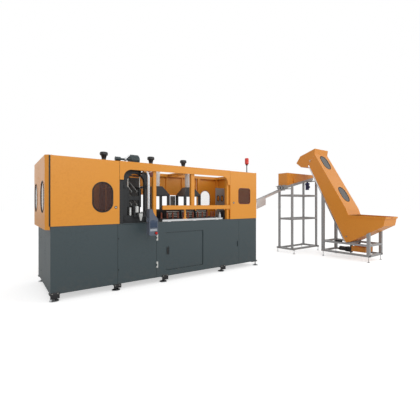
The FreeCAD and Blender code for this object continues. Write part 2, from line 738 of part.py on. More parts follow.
def beam_stand():
    """A flared foot on the table with a stem up to the guard beam."""
    y0 = RAIL_DEPTH + BASE_FRONT + SEAM
    half, stem = STAND_WIDTH / 2, 16.0
    outline = [(STAND_X - half, TABLE_TOP), (STAND_X + half, TABLE_TOP),
               (STAND_X + half, TABLE_TOP + 14.0), (STAND_X + stem, TABLE_TOP + STAND_RISE),
               (STAND_X + stem, BEAM_BOTTOM), (STAND_X - stem, BEAM_BOTTOM),
               (STAND_X - stem, TABLE_TOP + STAND_RISE), (STAND_X - half, TABLE_TOP + 14.0)]
    return prism_y(outline, y0, y0 + 20.0)


def left_end_cover():
    """One folded sheet round the left end with chamfered corners and two windows."""
    d, c = END_COVER_DEPTH, END_COVER_CHAMFER
    outline = [(0.0, 0.0), (-d, c), (-d, BODY_DEPTH - c), (0.0, BODY_DEPTH)]
    bottom, top = COVER_BOTTOM, ROOF_TOP
    outer = prism_z(outline, bottom, top)
    inner = prism_z(offset_outline(outline, [SHEET, SHEET, SHEET, -SHEET]), bottom - 1, top - SHEET)
    cover = outer.cut(inner)
    flange = FRAME_INSET + FRAME_TUBE
    flanges = [box(-SHEET, 0, 1.0, flange, TABLE_TOP, RAIL_BASE_Z),
               box(-SHEET, 0, BODY_DEPTH - flange, BODY_DEPTH - 1.0, TABLE_TOP, RAIL_BASE_Z)]
    cover = cover.fuse(flanges)
    for y in END_WINDOW_Y:
        cover = cover.cut(rounded_slot(y, WINDOW_BOTTOM, WINDOW_TOP, END_WINDOW_WIDTH, "x",
                                       -d - 1.0, SHEET + 2.0))
    return cover


def door_leaf(x0, x1, axis_x):
    """A folded door with a stiff rim, drilled at both ends for its pivot pins."""
    leaf = pan(x0, x1, CLADDING_BOTTOM, CLADDING_TOP, 0.0, DOOR_THICKNESS, DOOR_STILE)
    for z in (TABLE_TOP, ROOF_TOP - SHEET - PIN_LENGTH):
        leaf = leaf.cut(rod((axis_x, PIN_SETBACK, z - LIFT), (0, 0, 1), PIN_LENGTH + 2 * LIFT,
                            PIN_DIAMETER + 2 * PIN_PLAY))
    return leaf


def lock_hole(x, z):
    return rod((x, -LIFT, z), (0, 1, 0), DOOR_THICKNESS + 2 * LIFT, LOCK_DIAMETER + 2 * PIN_PLAY)


def lock_x_left():
    return LEFT_DOOR_END - LOCK_INSET


def lock_x_right():
    return RIGHT_DOOR_START + RIGHT_LOCK_INSET


def lock_boss(x, z):
    """The block behind the skin that the lock turns in."""
    side = 1.8 * LOCK_DIAMETER
    return box(x - side / 2, x + side / 2, SHEET, DOOR_THICKNESS, z - side / 2, z + side / 2)


def front_left_door():
    leaf = door_leaf(LEFT_DOOR_START, LEFT_DOOR_END, left_door_axis_x())
    leaf = leaf.fuse(lock_boss(lock_x_left(), LEFT_LOCK_Z)).cut(lock_hole(lock_x_left(), LEFT_LOCK_Z))
    return leaf.cut(rounded_slot(LEFT_WINDOW_X, WINDOW_BOTTOM, WINDOW_TOP, WINDOW_WIDTH, "y", -1.0,
                                 SHEET + 2.0))


def front_right_door():
    leaf = door_leaf(RIGHT_DOOR_START, BODY_LENGTH - DOOR_END_GAP, right_door_axis_x())
    leaf = leaf.fuse(lock_boss(lock_x_right(), RIGHT_LOCK_Z)).cut(lock_hole(lock_x_right(), RIGHT_LOCK_Z))
    half = RIGHT_WINDOW_WIDTH / 2
    return leaf.cut(rounded_window(RIGHT_WINDOW_X - half, RIGHT_WINDOW_X + half, RIGHT_WINDOW_BOTTOM,
                                   RIGHT_WINDOW_TOP, RIGHT_WINDOW_RADIUS, -1.0, SHEET + 2.0))


def left_door_pane():
    return rounded_slot(LEFT_WINDOW_X, WINDOW_BOTTOM - PANE_LAP, WINDOW_TOP + PANE_LAP,
                        WINDOW_WIDTH + 2 * PANE_LAP, "y", SHEET, PANE)


def right_door_pane():
    half = RIGHT_WINDOW_WIDTH / 2 + PANE_LAP
    return rounded_window(RIGHT_WINDOW_X - half, RIGHT_WINDOW_X + half, RIGHT_WINDOW_BOTTOM - PANE_LAP,
                          RIGHT_WINDOW_TOP + PANE_LAP, RIGHT_WINDOW_RADIUS, SHEET, PANE)


def door_lock(x, z):
    """A round lock barrel with a shallow coin slot and a cam behind the door."""
    barrel = rod((x, -3.0, z), (0, 1, 0), DOOR_THICKNESS + 3.0, LOCK_DIAMETER)
    slot = box(x - LOCK_DIAMETER / 3, x + LOCK_DIAMETER / 3, -3.0, -1.0, z - 2.0, z + 2.0)
    cam = box(x - 6.0, x + 6.0, DOOR_THICKNESS, DOOR_THICKNESS + 4.0, z - 6.0, z + 34.0)
    return barrel.cut(slot).fuse(cam)


def header_outline():
    """The header with a short leg at each end; its lower corners are quarter rounds."""
    r, leg = HEADER_CORNER_RADIUS, HEADER_LEG
    left, right = HEADER_START + leg, HEADER_END - leg
    low, legs = HEADER_BOTTOM, HEADER_LEG_BOTTOM

    def point(x, z):
        return V(x, 0, z)

    def arc(start, centre_x, sign, end):
        middle = point(centre_x + sign * r * math.cos(math.pi / 4), low - r + r * math.sin(math.pi / 4))
        return Part.Arc(start, middle, end).toShape()

    top = ROOF_TOP
    corners = [point(HEADER_START, legs), point(HEADER_START, top), point(HEADER_END, top),
               point(HEADER_END, legs), point(right, legs), point(right, low - r)]
    edges = [Part.LineSegment(a, b).toShape() for a, b in zip(corners, corners[1:])]
    edges.append(arc(corners[-1], right - r, 1, point(right - r, low)))
    edges.append(Part.LineSegment(point(right - r, low), point(left + r, low)).toShape())
    edges.append(arc(point(left + r, low), left + r, -1, point(left, low - r)))
    edges.append(Part.LineSegment(point(left, low - r), point(left, legs)).toShape())
    edges.append(Part.LineSegment(point(left, legs), corners[0]).toShape())
    return Part.Face(Part.Wire(edges))


def header_panel():
    """The sheet over the front opening, folded back over the front roof rail."""
    front = header_outline().extrude(V(0, SHEET, 0))
    flange = box(HEADER_START, HEADER_END, SHEET, FRAME_FRONT + FRAME_TUBE, ROOF_TOP - SHEET, ROOF_TOP)
    return front.fuse(flange)


def chute_z(x):
    """Height of the chute's floor at a place along the machine."""
    return CHUTE_ENTRY_Z + (x - BODY_LENGTH) * TAN_CHUTE


def right_end_panel():
    """The right end sheet, with the slot through which the chute comes in."""
    x0 = BODY_LENGTH - SHEET
    panel = box(x0, BODY_LENGTH, FRAME_INSET, BODY_DEPTH, COVER_BOTTOM, ROOF_TOP)
    z = chute_z(BODY_LENGTH)
    slot = box(x0 - 1, BODY_LENGTH + 1, FEED_Y - CHUTE_WIDTH, FEED_Y + CHUTE_WIDTH, z - CHUTE_HEIGHT,
               z + 3 * CHUTE_HEIGHT)
    return panel.cut(slot)


def rear_left_end():
    return BEAM_START - FRAME_TUBE - 2 * SEAM


def rear_right_start():
    return HEADER_END + 3 * FRAME_TUBE


def rear_panels():
    """Rear sheets: a closed one on the left, a deep valance, and one with a window on the right."""
    y0, y1 = FRAME_REAR, FRAME_REAR + SHEET
    low, high = TABLE_TOP, ROOF_TOP - SHEET
    left = box(SEAM, rear_left_end() + FRAME_TUBE, y0, y1, low, high)
    a, b = rear_left_end() + FRAME_TUBE + SEAM, rear_right_start() - FRAME_TUBE - SEAM
    valance = box(a, b, y0, y1, VALANCE_BOTTOM, high)
    hem = box(a, b, y0 - VALANCE_FOLD, y0, VALANCE_BOTTOM, VALANCE_BOTTOM + SHEET)
    ribs = [box(a + f * (b - a) - 20.0, a + f * (b - a) + 20.0, y0 - VALANCE_FOLD, y0,
                VALANCE_BOTTOM + SHEET, RAIL_BASE_Z) for f in (0.25, 0.5, 0.75)]
    right = box(rear_right_start() - FRAME_TUBE, BODY_LENGTH - SHEET, y0, y1, low, high)
    right = right.cut(rounded_slot(REAR_WINDOW_X, WINDOW_BOTTOM, WINDOW_TOP, WINDOW_WIDTH, "y",
                                   y0 - 1.0, SHEET + 2.0))
    cap = box(0.0, BODY_LENGTH - SHEET, FRAME_REAR - FRAME_TUBE, FRAME_REAR + SHEET, high, ROOF_TOP)
    return compound([left, valance.fuse([hem] + ribs), right, cap])


def window_panes():
    """Fixed panes: two in the left end cover, one at the rear, two in the elevator's front."""
    x = -END_COVER_DEPTH + SHEET
    panes = [rounded_slot(y, WINDOW_BOTTOM - PANE_LAP, WINDOW_TOP + PANE_LAP,
                          END_WINDOW_WIDTH + 2 * PANE_LAP, "x", x, PANE) for y in END_WINDOW_Y]
    rear = rounded_slot(REAR_WINDOW_X, WINDOW_BOTTOM - PANE_LAP, WINDOW_TOP + PANE_LAP,
                        WINDOW_WIDTH + 2 * PANE_LAP, "y", FRAME_REAR - PANE, PANE)
    return compound(panes + [rear] + [casing_slot(k, PANE_LAP, -SHEET - PANE, PANE) for k in (0, 1)])


def guard_frame():
    """Orange posts behind the front plane and the guard beam with its tabs."""
    y0, y1 = FRAME_FRONT, FRAME_FRONT + FRAME_TUBE
    pieces = []
    lows = (TABLE_TOP, BEAM_BOTTOM, TABLE_TOP)
    for x, width, low in zip(POST_STARTS, POST_WIDTHS, lows):
        pieces.append(box(x, x + width, y0, y1, low, RAIL_BASE_Z))
    end = POST_STARTS[-1] + POST_WIDTHS[-1]
    beam = box(BEAM_START, end, y0 - BEAM_DEPTH, y0, BEAM_BOTTOM, BEAM_BOTTOM + BEAM_HEIGHT)
    tabs = [box(BEAM_START + f * (end - BEAM_START) - 9.0, BEAM_START + f * (end - BEAM_START) + 9.0,
                y0 - SHEET, y0, BEAM_BOTTOM - 26.0, BEAM_BOTTOM) for f in (0.3, 0.46, 0.78, 0.92)]
    return compound(pieces + [beam.fuse(tabs)])


def guide_rail():
    """An aluminium rail on low blocks along the front edge of the table."""
    y0 = BASE_FRONT
    z0, z1 = RAIL_BOTTOM, RAIL_BOTTOM + RAIL_HEIGHT
    rail = box(RAIL_START, RAIL_END, y0, y0 + RAIL_DEPTH, z0, z1)
    groove = box(RAIL_START - 1, RAIL_END + 1, y0 - 1, y0 + 6.0, z0 + 12.0, z0 + 18.0)
    top_groove = box(RAIL_START - 1, RAIL_END + 1, y0 + 16.0, y0 + 24.0, z1 - 6.0, z1 + 1)
    span = RAIL_END - RAIL_START
    blocks = [box(RAIL_START + f * span - 30.0, RAIL_START + f * span + 30.0, y0 + 4.0,
                  y0 + RAIL_DEPTH, TABLE_TOP, z0) for f in (0.1, 0.5, 0.9)]
    return rail.cut(groove).cut(top_groove).fuse(blocks)


# ---- roof -----------------------------------------------------------------------------
def roof_cap(x):
    """A mushroom exhaust cap on a tapered neck, with a small damper lever."""
    r = CAP_DIAMETER / 2
    h = CAP_TOP - ROOF_TOP + SHEET
    profile = [(0, 0), (r * 0.95, 0), (r * 0.95, 10), (r * 0.52, 22), (r * 0.56, h * 0.55),
               (r * 0.74, h * 0.74), (r, h * 0.78), (r, h * 0.95), (r * 0.86, h), (0, h)]
    cap = turned(profile, (x, CAP_Y, ROOF_TOP - SHEET))
    lever = rod((x, CAP_Y, ROOF_TOP + 0.3 * h), (1, 0, -0.12), 1.35 * r, 12.0)
    return cap.fuse(lever)


def roof_caps():
    return compound([roof_cap(x) for x in CAP_X])


def roof_blower():
    """A side-channel blower on the roof with its pipe and a silencer at the pipe's end."""
    z0 = ROOF_TOP - SHEET
    x0, x1 = BLOWER_X - BLOWER_LENGTH / 2, BLOWER_X + BLOWER_LENGTH / 2
    height = BLOWER_TOP - z0
    body = rod((x0, BLOWER_Y, z0 + height / 2 + 10.0), (1, 0, 0), BLOWER_LENGTH, height - 20.0)
    body = body.makeChamfer(16.0, [e for e in body.Edges if e.Curve.TypeId == "Part::GeomCircle"])
    foot = box(BLOWER_X - CROSSBAR_WIDTH / 2, BLOWER_X + CROSSBAR_WIDTH / 2, BLOWER_Y - 80.0,
               BLOWER_Y + 80.0, z0, z0 + 12.0)
    saddle = box(BLOWER_X - 34.0, BLOWER_X + 34.0, BLOWER_Y - 50.0, BLOWER_Y + 50.0, z0 + 12.0,
                 z0 + height / 2)
    pipe_z = z0 + height / 2 + 10.0
    end = x0 - BLOWER_PIPE_REACH
    pipe = rod((end, BLOWER_Y, pipe_z), (1, 0, 0), BLOWER_PIPE_REACH + 10.0, BLOWER_PIPE)
    silencer = rod((end - SILENCER_LENGTH / 2, BLOWER_Y, pipe_z), (1, 0, 0), SILENCER_LENGTH,
                   SILENCER_DIAMETER)
    return body.fuse([foot, saddle, pipe, silencer])


def beacon_pole():
    """The thin pole with its foot and the dark socket under the lens."""
    z0 = ROOF_TOP - SHEET
    h = BEACON_BOTTOM - z0
    r = BEACON_POLE / 2
    profile = [(0, 0), (3 * r, 0), (3 * r, 6), (r, 8), (r, h - 26), (2.4 * r, h - 20), (2.4 * r, h), (0, h)]
    return turned(profile, (BEACON_X, BEACON_Y, z0))


def beacon_lens():
    r = BEACON_DIAMETER / 2
    h = BEACON_TOP - BEACON_BOTTOM
    profile = [(0, 0), (r * 0.86, 0), (r, 12), (r, h - 14), (r * 0.8, h - 3), (0, h)]
    return turned(profile, (BEACON_X, BEACON_Y, BEACON_BOTTOM))


# ---- oven -----------------------------------------------------------------------------
def oven_hood(x):
    """A sheet hood, wide below and square above, with a round hole for its duct."""
    def section(half_x, half_y, z):
        corners = [(x - half_x, HOOD_Y - half_y), (x + half_x, HOOD_Y - half_y),
                   (x + half_x, HOOD_Y + half_y), (x - half_x, HOOD_Y + half_y)]
        points = [V(a, b, z) for a, b in corners]
        return Part.makePolygon(points + [points[0]])

    top = DUCT_DIAMETER / 2 + HOOD_COLLAR
    wide, deep, t = HOOD_LENGTH / 2, HOOD_WIDTH / 2, SHEET
    outer = Part.makeLoft([section(wide, deep, HOOD_BOTTOM), section(top, top, HOOD_TOP)], True, True)
    inner = Part.makeLoft([section(wide - 2 * t, deep - 2 * t, HOOD_BOTTOM),
                           section(top - 2 * t, top - 2 * t, HOOD_TOP - t)], True, True)
    lip = box(x - wide, x + wide, HOOD_Y - deep, HOOD_Y + deep, HOOD_BOTTOM - HOOD_LIP, HOOD_BOTTOM)
    lip = lip.cut(box(x - wide + t, x + wide - t, HOOD_Y - deep + t, HOOD_Y + deep - t,
                      HOOD_BOTTOM - HOOD_LIP - 1, HOOD_BOTTOM))
    bore = rod((x, HOOD_Y, HOOD_TOP - 10.0), (0, 0, 1), 20.0, duct_bore())
    return outer.cut(inner).fuse(lip).cut(bore)


def hood_legs(x):
    """Four square legs from the table to the hood's lip."""
    half = HOOD_LEG / 2
    wide, deep = HOOD_LENGTH / 2 - half, HOOD_WIDTH / 2 - half
    spots = [(a, b) for a in (-wide, wide) for b in (-deep, deep)]
    return [box(x + a - half, x + a + half, HOOD_Y + b - half, HOOD_Y + b + half, TABLE_TOP,
                HOOD_BOTTOM - HOOD_LIP) for a, b in spots]


def oven_hoods():
    pieces = []
    for x in HOOD_CENTRES:
        pieces.append(oven_hood(x))
        pieces += hood_legs(x)
    return compound(pieces)


def duct_bore():
    return DUCT_DIAMETER - 2 * DUCT_WALL - 12.0


def exhaust_duct(x):
    """A ribbed duct from the hood to the roof, made of rib sections with a steady bore."""
    z0, z1 = HOOD_TOP, ROOF_TOP - SHEET
    crest, root = DUCT_DIAMETER / 2, DUCT_DIAMETER / 2 - 6.0
    pitch = (z1 - z0 - 2 * DUCT_END) / DUCT_RIBS

    def circle(radius, z):
        return Part.Wire([Part.makeCircle(radius, V(x, HOOD_Y, z), V(0, 0, 1))])

    pieces = [rod((x, HOOD_Y, z0), (0, 0, 1), DUCT_END, 2 * root),
              rod((x, HOOD_Y, z1 - DUCT_END), (0, 0, 1), DUCT_END, 2 * root)]
    for k in range(DUCT_RIBS):
        low = z0 + DUCT_END + k * pitch
        rings = [circle(root, low), circle(crest, low + 0.3 * pitch), circle(crest, low + 0.7 * pitch),
                 circle(root, low + pitch)]
        pieces.append(Part.makeLoft(rings, True, True))
    body = pieces[0].fuse(pieces[1:])
    return body.cut(rod((x, HOOD_Y, z0 - 1), (0, 0, 1), z1 - z0 + 2, duct_bore()))


def exhaust_ducts():
    return compound([exhaust_duct(x) for x in HOOD_CENTRES])


def loop_solid(radius, z0, z1):
    """A long plate with round ends in plan, at a distance from the track's two turning points."""
    y = TRACK_Y_FRONT + TRACK_RADIUS
    a, b = TRACK_START + TRACK_RADIUS, TRACK_END - TRACK_RADIUS
    middle = box(a, b, y - radius, y + radius, z0, z1)
    ends = [rod((x, y, z0), (0, 0, 1), z1 - z0, 2 * radius) for x in (a, b)]
    return middle.fuse(ends).removeSplitter()


def preform_track():
    """The chain's guide loop on short pillars."""
    half = TRACK_WIDTH / 2
    thick = 24.0
    ring = loop_solid(TRACK_RADIUS + half, TRACK_TOP - thick, TRACK_TOP)
    ring = ring.cut(loop_solid(TRACK_RADIUS - half, TRACK_TOP - thick - 1, TRACK_TOP + 1))
    a, b = TRACK_START + TRACK_RADIUS, TRACK_END - TRACK_RADIUS
    pillars = []
    for x in (a, (a + b) / 2, b):
        for y in (TRACK_Y_FRONT, TRACK_Y_FRONT + 2 * TRACK_RADIUS):
            pillars.append(box(x - 25.0, x + 25.0, y - 25.0, y + 25.0, TABLE_TOP, TRACK_TOP - thick))
    return ring.fuse(pillars)


def track_point(distance):
    """A point on the track's centre line, measured along it from the front run's left end."""
    r = TRACK_RADIUS
    a, b = TRACK_START + r, TRACK_END - r
    straight, bend = b - a, math.pi * r
    middle = TRACK_Y_FRONT + r
    if distance < straight:
        return a + distance, TRACK_Y_FRONT
    if distance < straight + bend:
        angle = (distance - straight) / r - math.pi / 2
        return b + r * math.cos(angle), middle + r * math.sin(angle)
    if distance < 2 * straight + bend:
        return b - (distance - straight - bend), TRACK_Y_FRONT + 2 * r
    angle = (distance - 2 * straight - bend) / r + math.pi / 2
    return a + r * math.cos(angle), middle + r * math.sin(angle)


def preform_carriers():
    """Mandrels on the chain, each with a preform standing neck down."""
    r = TRACK_RADIUS
    length = 2 * (TRACK_END - TRACK_START - 2 * r) + 2 * math.pi * r
    count = int(length // CARRIER_PITCH)
    body, neck = PREFORM_DIAMETER / 2, 21.0
    h = 14.0 + PREFORM_LENGTH
    profile = [(0, 0), (neck, 0), (body, 14), (body * 0.9, h - 10), (0, h)]
    return compound([turned(profile, track_point(k * length / count) + (TRACK_TOP,))
                     for k in range(count)])


def lamp_bank_spans():
    a, b = TRACK_START + TRACK_RADIUS, TRACK_END - TRACK_RADIUS
    width = (b - a - (LAMP_BANKS - 1) * LAMP_GAP) / LAMP_BANKS
    return [(a + k * (width + LAMP_GAP), a + k * (width + LAMP_GAP) + width) for k in range(LAMP_BANKS)]


def lamp_bank(x0, x1):
    """A lamp box behind the front run of the track, open towards it."""
    y0 = TRACK_Y_FRONT + TRACK_WIDTH / 2 + 12.0
    y1 = y0 + LAMP_BANK_DEPTH
    block = box(x0, x1, y0, y1, TABLE_TOP, LAMP_BANK_TOP)
    return block.cut(box(x0 + 12.0, x1 - 12.0, y0 - 1, y0 + 46.0, TRACK_TOP + 4.0, LAMP_BANK_TOP - 14.0))


def rear_copy(shape):
    return mirrored_y(shape, TRACK_Y_FRONT + TRACK_RADIUS)


def lamp_banks():
    banks = [lamp_bank(a, b) for a, b in lamp_bank_spans()]
    return compound(banks + [rear_copy(bank) for bank in banks])


def heater_lamps():
    """Quartz lamps lying across each lamp box."""
    y = TRACK_Y_FRONT + TRACK_WIDTH / 2 + 30.0
    step = (LAMP_BANK_TOP - TRACK_TOP - 30.0) / LAMP_ROWS
    lamps = []
    for x0, x1 in lamp_bank_spans():
        for k in range(LAMP_ROWS):
            z = TRACK_TOP + 4.0 + (k + 0.6) * step
            lamps.append(rod((x0 + 12.0, y, z), (1, 0, 0), x1 - x0 - 24.0, LAMP_DIAMETER))
    return compound(lamps + [rear_copy(lamp) for lamp in lamps])


def infeed_plate():
    """The grey plate that holds the chute's inner end, with a foot and two long holes."""
    y, thick = FEED_Y + CHUTE_WIDTH / 2, 10.0
    plate = box(INFEED_START, INFEED_END, y, y + thick, TABLE_TOP, INFEED_TOP)
    width, tall = INFEED_HOLE_SIZE
    for along in INFEED_HOLES:
        plate = plate.cut(rounded_slot(INFEED_START + along, INFEED_HOLE_TOP - tall, INFEED_HOLE_TOP,
                                       width, "y", y - 1, thick + 2))
    foot = box(INFEED_START, INFEED_END, y + thick, y + 9 * thick, TABLE_TOP, TABLE_TOP + thick)
    return plate.fuse(foot)


# ---- mould clamp ----------------------------------------------------------------------
def clamp_yoke():
    """The front casting: an arched frame on a wide foot, with a lug for the cylinder."""
    y0, y1 = YOKE_Y, YOKE_Y + YOKE_THICKNESS
    span = CLAMP_RIGHT - CLAMP_LEFT
    middle = (CLAMP_LEFT + CLAMP_RIGHT) / 2
    spring = CLAMP_TOP - span / 2
    outer = box(CLAMP_LEFT, CLAMP_RIGHT, y0, y1, TABLE_TOP, spring)
    outer = outer.fuse(rod((middle, y0, spring), (0, 1, 0), YOKE_THICKNESS, span)).removeSplitter()
    inner_span = span - 2 * YOKE_LEG
    sill = TABLE_TOP + YOKE_FOOT
    hole = box(middle - inner_span / 2, middle + inner_span / 2, y0 - 1, y1 + 1, sill, spring)
    hole = hole.fuse(rod((middle, y0 - 1, spring), (0, 1, 0), YOKE_THICKNESS + 2, inner_span))
    return outer.cut(hole)


def clamp_yokes():
    """Both castings, the bed between them, the guide rods with their top plate, the side column."""
    front = clamp_yoke()
    rear = mirrored_y(front, MOULD_SPLIT_Y)
    y0 = YOKE_Y + YOKE_THICKNESS
    y1 = 2 * MOULD_SPLIT_Y - y0
    bed = box(CLAMP_LEFT + 60.0, CLAMP_RIGHT - 60.0, y0, y1, TABLE_TOP, TABLE_TOP + BED_HEIGHT)
    for x in mould_centres():
        bed = bed.cut(rod((x, MOULD_SPLIT_Y, TABLE_TOP - 1), (0, 0, 1), BED_HEIGHT + 2,
                          STRETCH_ROD + 2 * PIN_PLAY))
    x0, x1 = guide_rod_x()
    top = guide_rod_top()
    ledge = box(x0 - GUIDE_ROD, x1 + GUIDE_ROD, y0, y0 + 50.0, top, top + 16.0)
    low = TABLE_TOP + BED_HEIGHT
    rods = [rod((x, crosshead_y(), low), (0, 0, 1), top - low, GUIDE_ROD) for x in (x0, x1)]
    start = HEADER_START + SEAM
    column = box(start, start + FRAME_TUBE, FRAME_FRONT, FRAME_FRONT + FRAME_TUBE, TABLE_TOP, RAIL_BASE_Z)
    return compound([front.fuse(ledge), rear, bed, column] + rods)


def clamp_middle():
    return (CLAMP_LEFT + CLAMP_RIGHT) / 2


def guide_rod_x():
    return (clamp_middle() - LINK_SPACING / 2 + 8.0, clamp_middle() + LINK_SPACING / 2 - 8.0)


def guide_rod_top():
    return LINK_UPPER_Z + 90.0


def crosshead_y():
    return YOKE_Y + YOKE_THICKNESS + 30.0


def tie_bar_points():
    x0, x1 = CLAMP_LEFT + YOKE_LEG / 2, CLAMP_RIGHT - YOKE_LEG / 2
    return [(x, z) for x in (x0, x1) for z in (TABLE_TOP + YOKE_FOOT - 40.0, PLATEN_TOP - TIE_BAR_DROP)]


def tie_bars():
    """Four bars between the yokes, on which the platens slide."""
    y0 = YOKE_Y + YOKE_THICKNESS
    y1 = 2 * MOULD_SPLIT_Y - y0
    return compound([rod((x, y0, z), (0, 1, 0), y1 - y0, TIE_BAR) for x, z in tie_bar_points()])


def mould_half():
    """One platen with its mould half: bars round the necks and the bottles, a plain block on top."""
    x0, x1 = CLAMP_LEFT + 4.0, CLAMP_RIGHT - 4.0
    y1 = MOULD_SPLIT_Y - MOULD_THICKNESS
    y0 = y1 - PLATEN_THICKNESS
    platen = box(x0, x1, y0, y1, PLATEN_BOTTOM, PLATEN_TOP)
    for x, z in tie_bar_points():
        platen = platen.cut(rod((x, y0 - 1, z), (0, 1, 0), PLATEN_THICKNESS + 2, TIE_BAR + 2 * PIN_PLAY))
    middles = list(mould_centres())
    shoulder, foot = BOTTLE_SHOULDER - LIFT, BOTTLE_HEIGHT - BOTTLE_FOOT - LIFT
    cavities = [turned(bottle_profile(), (x, MOULD_SPLIT_Y, MOULD_BOTTOM - LIFT)) for x in middles]
    bars = []
    for low, high, seams in ((0.0, shoulder, middles), (shoulder, foot, middles), (foot, MOULD_HEIGHT, [])):
        edges = [x0 + MOULD_INSET] + seams + [x1 - MOULD_INSET]
        for a, b in zip(edges, edges[1:]):
            bar = box(a, b, y1, MOULD_SPLIT_Y - LIFT / 2, MOULD_BOTTOM + low, MOULD_BOTTOM + high)
            bars.append(bar.cut(cavities))
    return platen, bars


def mould_centres():
    return (clamp_middle() - CAVITY_PITCH / 2, clamp_middle() + CAVITY_PITCH / 2)


def bottle_profile():
    """A bottle standing on its neck."""
    neck, body, h = BOTTLE_NECK, BOTTLE_RADIUS, BOTTLE_HEIGHT
    shoulder, foot = BOTTLE_SHOULDER, BOTTLE_FOOT
    return [(0, 0), (neck, 0), (neck, 0.4 * shoulder), (body, shoulder), (body, h - foot),
            (body - BOTTLE_EDGE, h), (0, h)]


def platen_lug(x, z):
    """A lug on the platen with the pin that the link's open eye goes over."""
    y0 = PLATEN_FRONT_Y
    reach = y0 - link_far_y()
    lug = box(x + LINK_THICKNESS / 2 + 1.0, x + LINK_THICKNESS / 2 + 19.0, y0 - reach - LINK_PIN, y0,
              z - LINK_EYE / 2, z + LINK_EYE / 2)
    pin = rod((x - LINK_THICKNESS / 2 - 4.0, link_far_y(), z), (1, 0, 0), LINK_THICKNESS + 10.0, LINK_PIN)
    return lug.fuse(pin)


def link_near_y():
    return crosshead_y()


def link_far_y():
    return crosshead_y() + LINK_REACH


def link_levels():
    """Heights of the platen pins for the upper and the lower pair of links."""
    return (LINK_UPPER_Z, LINK_UPPER_Z - LINK_SPACING)


def link_x():
    return (clamp_middle() - 46.0, clamp_middle() + 46.0)


def front_mould_platen():
    platen, bars = mould_half()
    lugs = [platen_lug(x, z) for z in link_levels() for x in link_x()]
    return compound([platen.fuse(lugs)] + bars)


def rear_mould_platen():
    platen, bars = mould_half()
    return compound([mirrored_y(piece, MOULD_SPLIT_Y) for piece in [platen] + bars])


def toggle_links(level):
    """A pair of links from the crosshead's pins up to the platen's pins."""
    links = []
    y0, z0 = link_near_y(), level - LINK_RISE
    y1, z1 = link_far_y(), level
    u = ((y1 - y0) / LINK_LENGTH, (z1 - z0) / LINK_LENGTH)
    n = (-u[1], u[0])
    half = LINK_EYE * 0.34
    for x in link_x():
        a, b = x - LINK_THICKNESS / 2, x + LINK_THICKNESS / 2
        bar = prism_x([(y0 - n[0] * half, z0 - n[1] * half), (y1 - n[0] * half, z1 - n[1] * half),
                       (y1 + n[0] * half, z1 + n[1] * half), (y0 + n[0] * half, z0 + n[1] * half)], a, b)
        link = bar.fuse([rod((a, y, z), (1, 0, 0), b - a, LINK_EYE) for y, z in ((y0, z0), (y1, z1))])
        link = link.cut(rod((a - 1, y0, z0), (1, 0, 0), b - a + 2, LINK_PIN + 2 * PIN_PLAY))
        links.append(link.cut(rod((a - 1, y1, z1), (1, 0, 0), b - a + 2, LINK_PIN + 2 * LINK_PLAY)))
    return compound(links)


def crosshead():
    """The yoke that rides on the guide rods and carries the links' lower pins."""
    y = crosshead_y()
    upper, lower = [level - LINK_RISE for level in link_levels()]
    half = GUIDE_ROD / 2 + 10.0
    left, right = guide_rod_x()
    middle = (upper + lower) / 2
    pieces = [box(x - half, x + half, y - half, y + half, lower - 40.0, upper + 40.0)
              for x in (left, right)]
    pieces.append(box(left + half - LIFT, right - half + LIFT, y - half, y + half, middle - 30.0,
                      middle + 30.0))
    near, far = link_x()
    for z in (upper, lower):
        pieces.append(pin_between(left + half - 2.0, near + LINK_THICKNESS / 2 + 4.0, y, z))
        pieces.append(pin_between(far - LINK_THICKNESS / 2 - 4.0, right - half + 2.0, y, z))
    body = pieces[0].fuse(pieces[1:])
    for x in (left, right):
        body = body.cut(rod((x, y, lower - 60.0), (0, 0, 1), upper - lower + 120.0,
                            GUIDE_ROD + 2 * PIN_PLAY))
    piston_rod = rod((clamp_middle(), y, CYLINDER_TOP - 90.0), (0, 0, 1), middle - CYLINDER_TOP + 90.0,
                     16.0)
    return body.fuse(piston_rod)


def pin_between(x0, x1, y, z):
    return rod((x0, y, z), (1, 0, 0), x1 - x0, LINK_PIN)


def clamp_pneumatics():
    """The white air cylinder under the crosshead, and the valves on the front casting's sill."""
    x, y = clamp_middle(), crosshead_y()
    low = TABLE_TOP + BED_HEIGHT
    caps = [box(x - 28.0, x + 28.0, y - 28.0, y + 28.0, z, z + 22.0) for z in (low, CYLINDER_TOP - 22.0)]
    body = rod((x, y, low), (0, 0, 1), CYLINDER_TOP - low, 50.0).fuse(caps)
    body = body.cut(rod((x, y, low + 20.0), (0, 0, 1), CYLINDER_TOP - low, 17.0))
    return compound([body, valve_bank()])


def valve_bank():
    """A manifold with a row of valves and push-in fittings."""
    x0, x1 = CLAMP_LEFT + 190.0, CLAMP_RIGHT
    y0, z = YOKE_Y - 34.0, TABLE_TOP + YOKE_FOOT - 26.0
    bar = box(x0, x1, y0, YOKE_Y, z, z + 26.0)
    step = (x1 - x0) / VALVES
    parts = []
    for k in range(VALVES):
        x = x0 + (k + 0.5) * step
        parts.append(box(x - 14.0, x + 14.0, y0, YOKE_Y, z + 26.0, z + 74.0))
        parts.append(rod((x, y0 + 17.0, z + 74.0), (0, 0, 1), 18.0, 12.0))
    return bar.fuse(parts)


def stretch_guide_x():
    return (clamp_middle() - STRETCH_GUIDE_SPREAD / 2, clamp_middle() + STRETCH_GUIDE_SPREAD / 2)


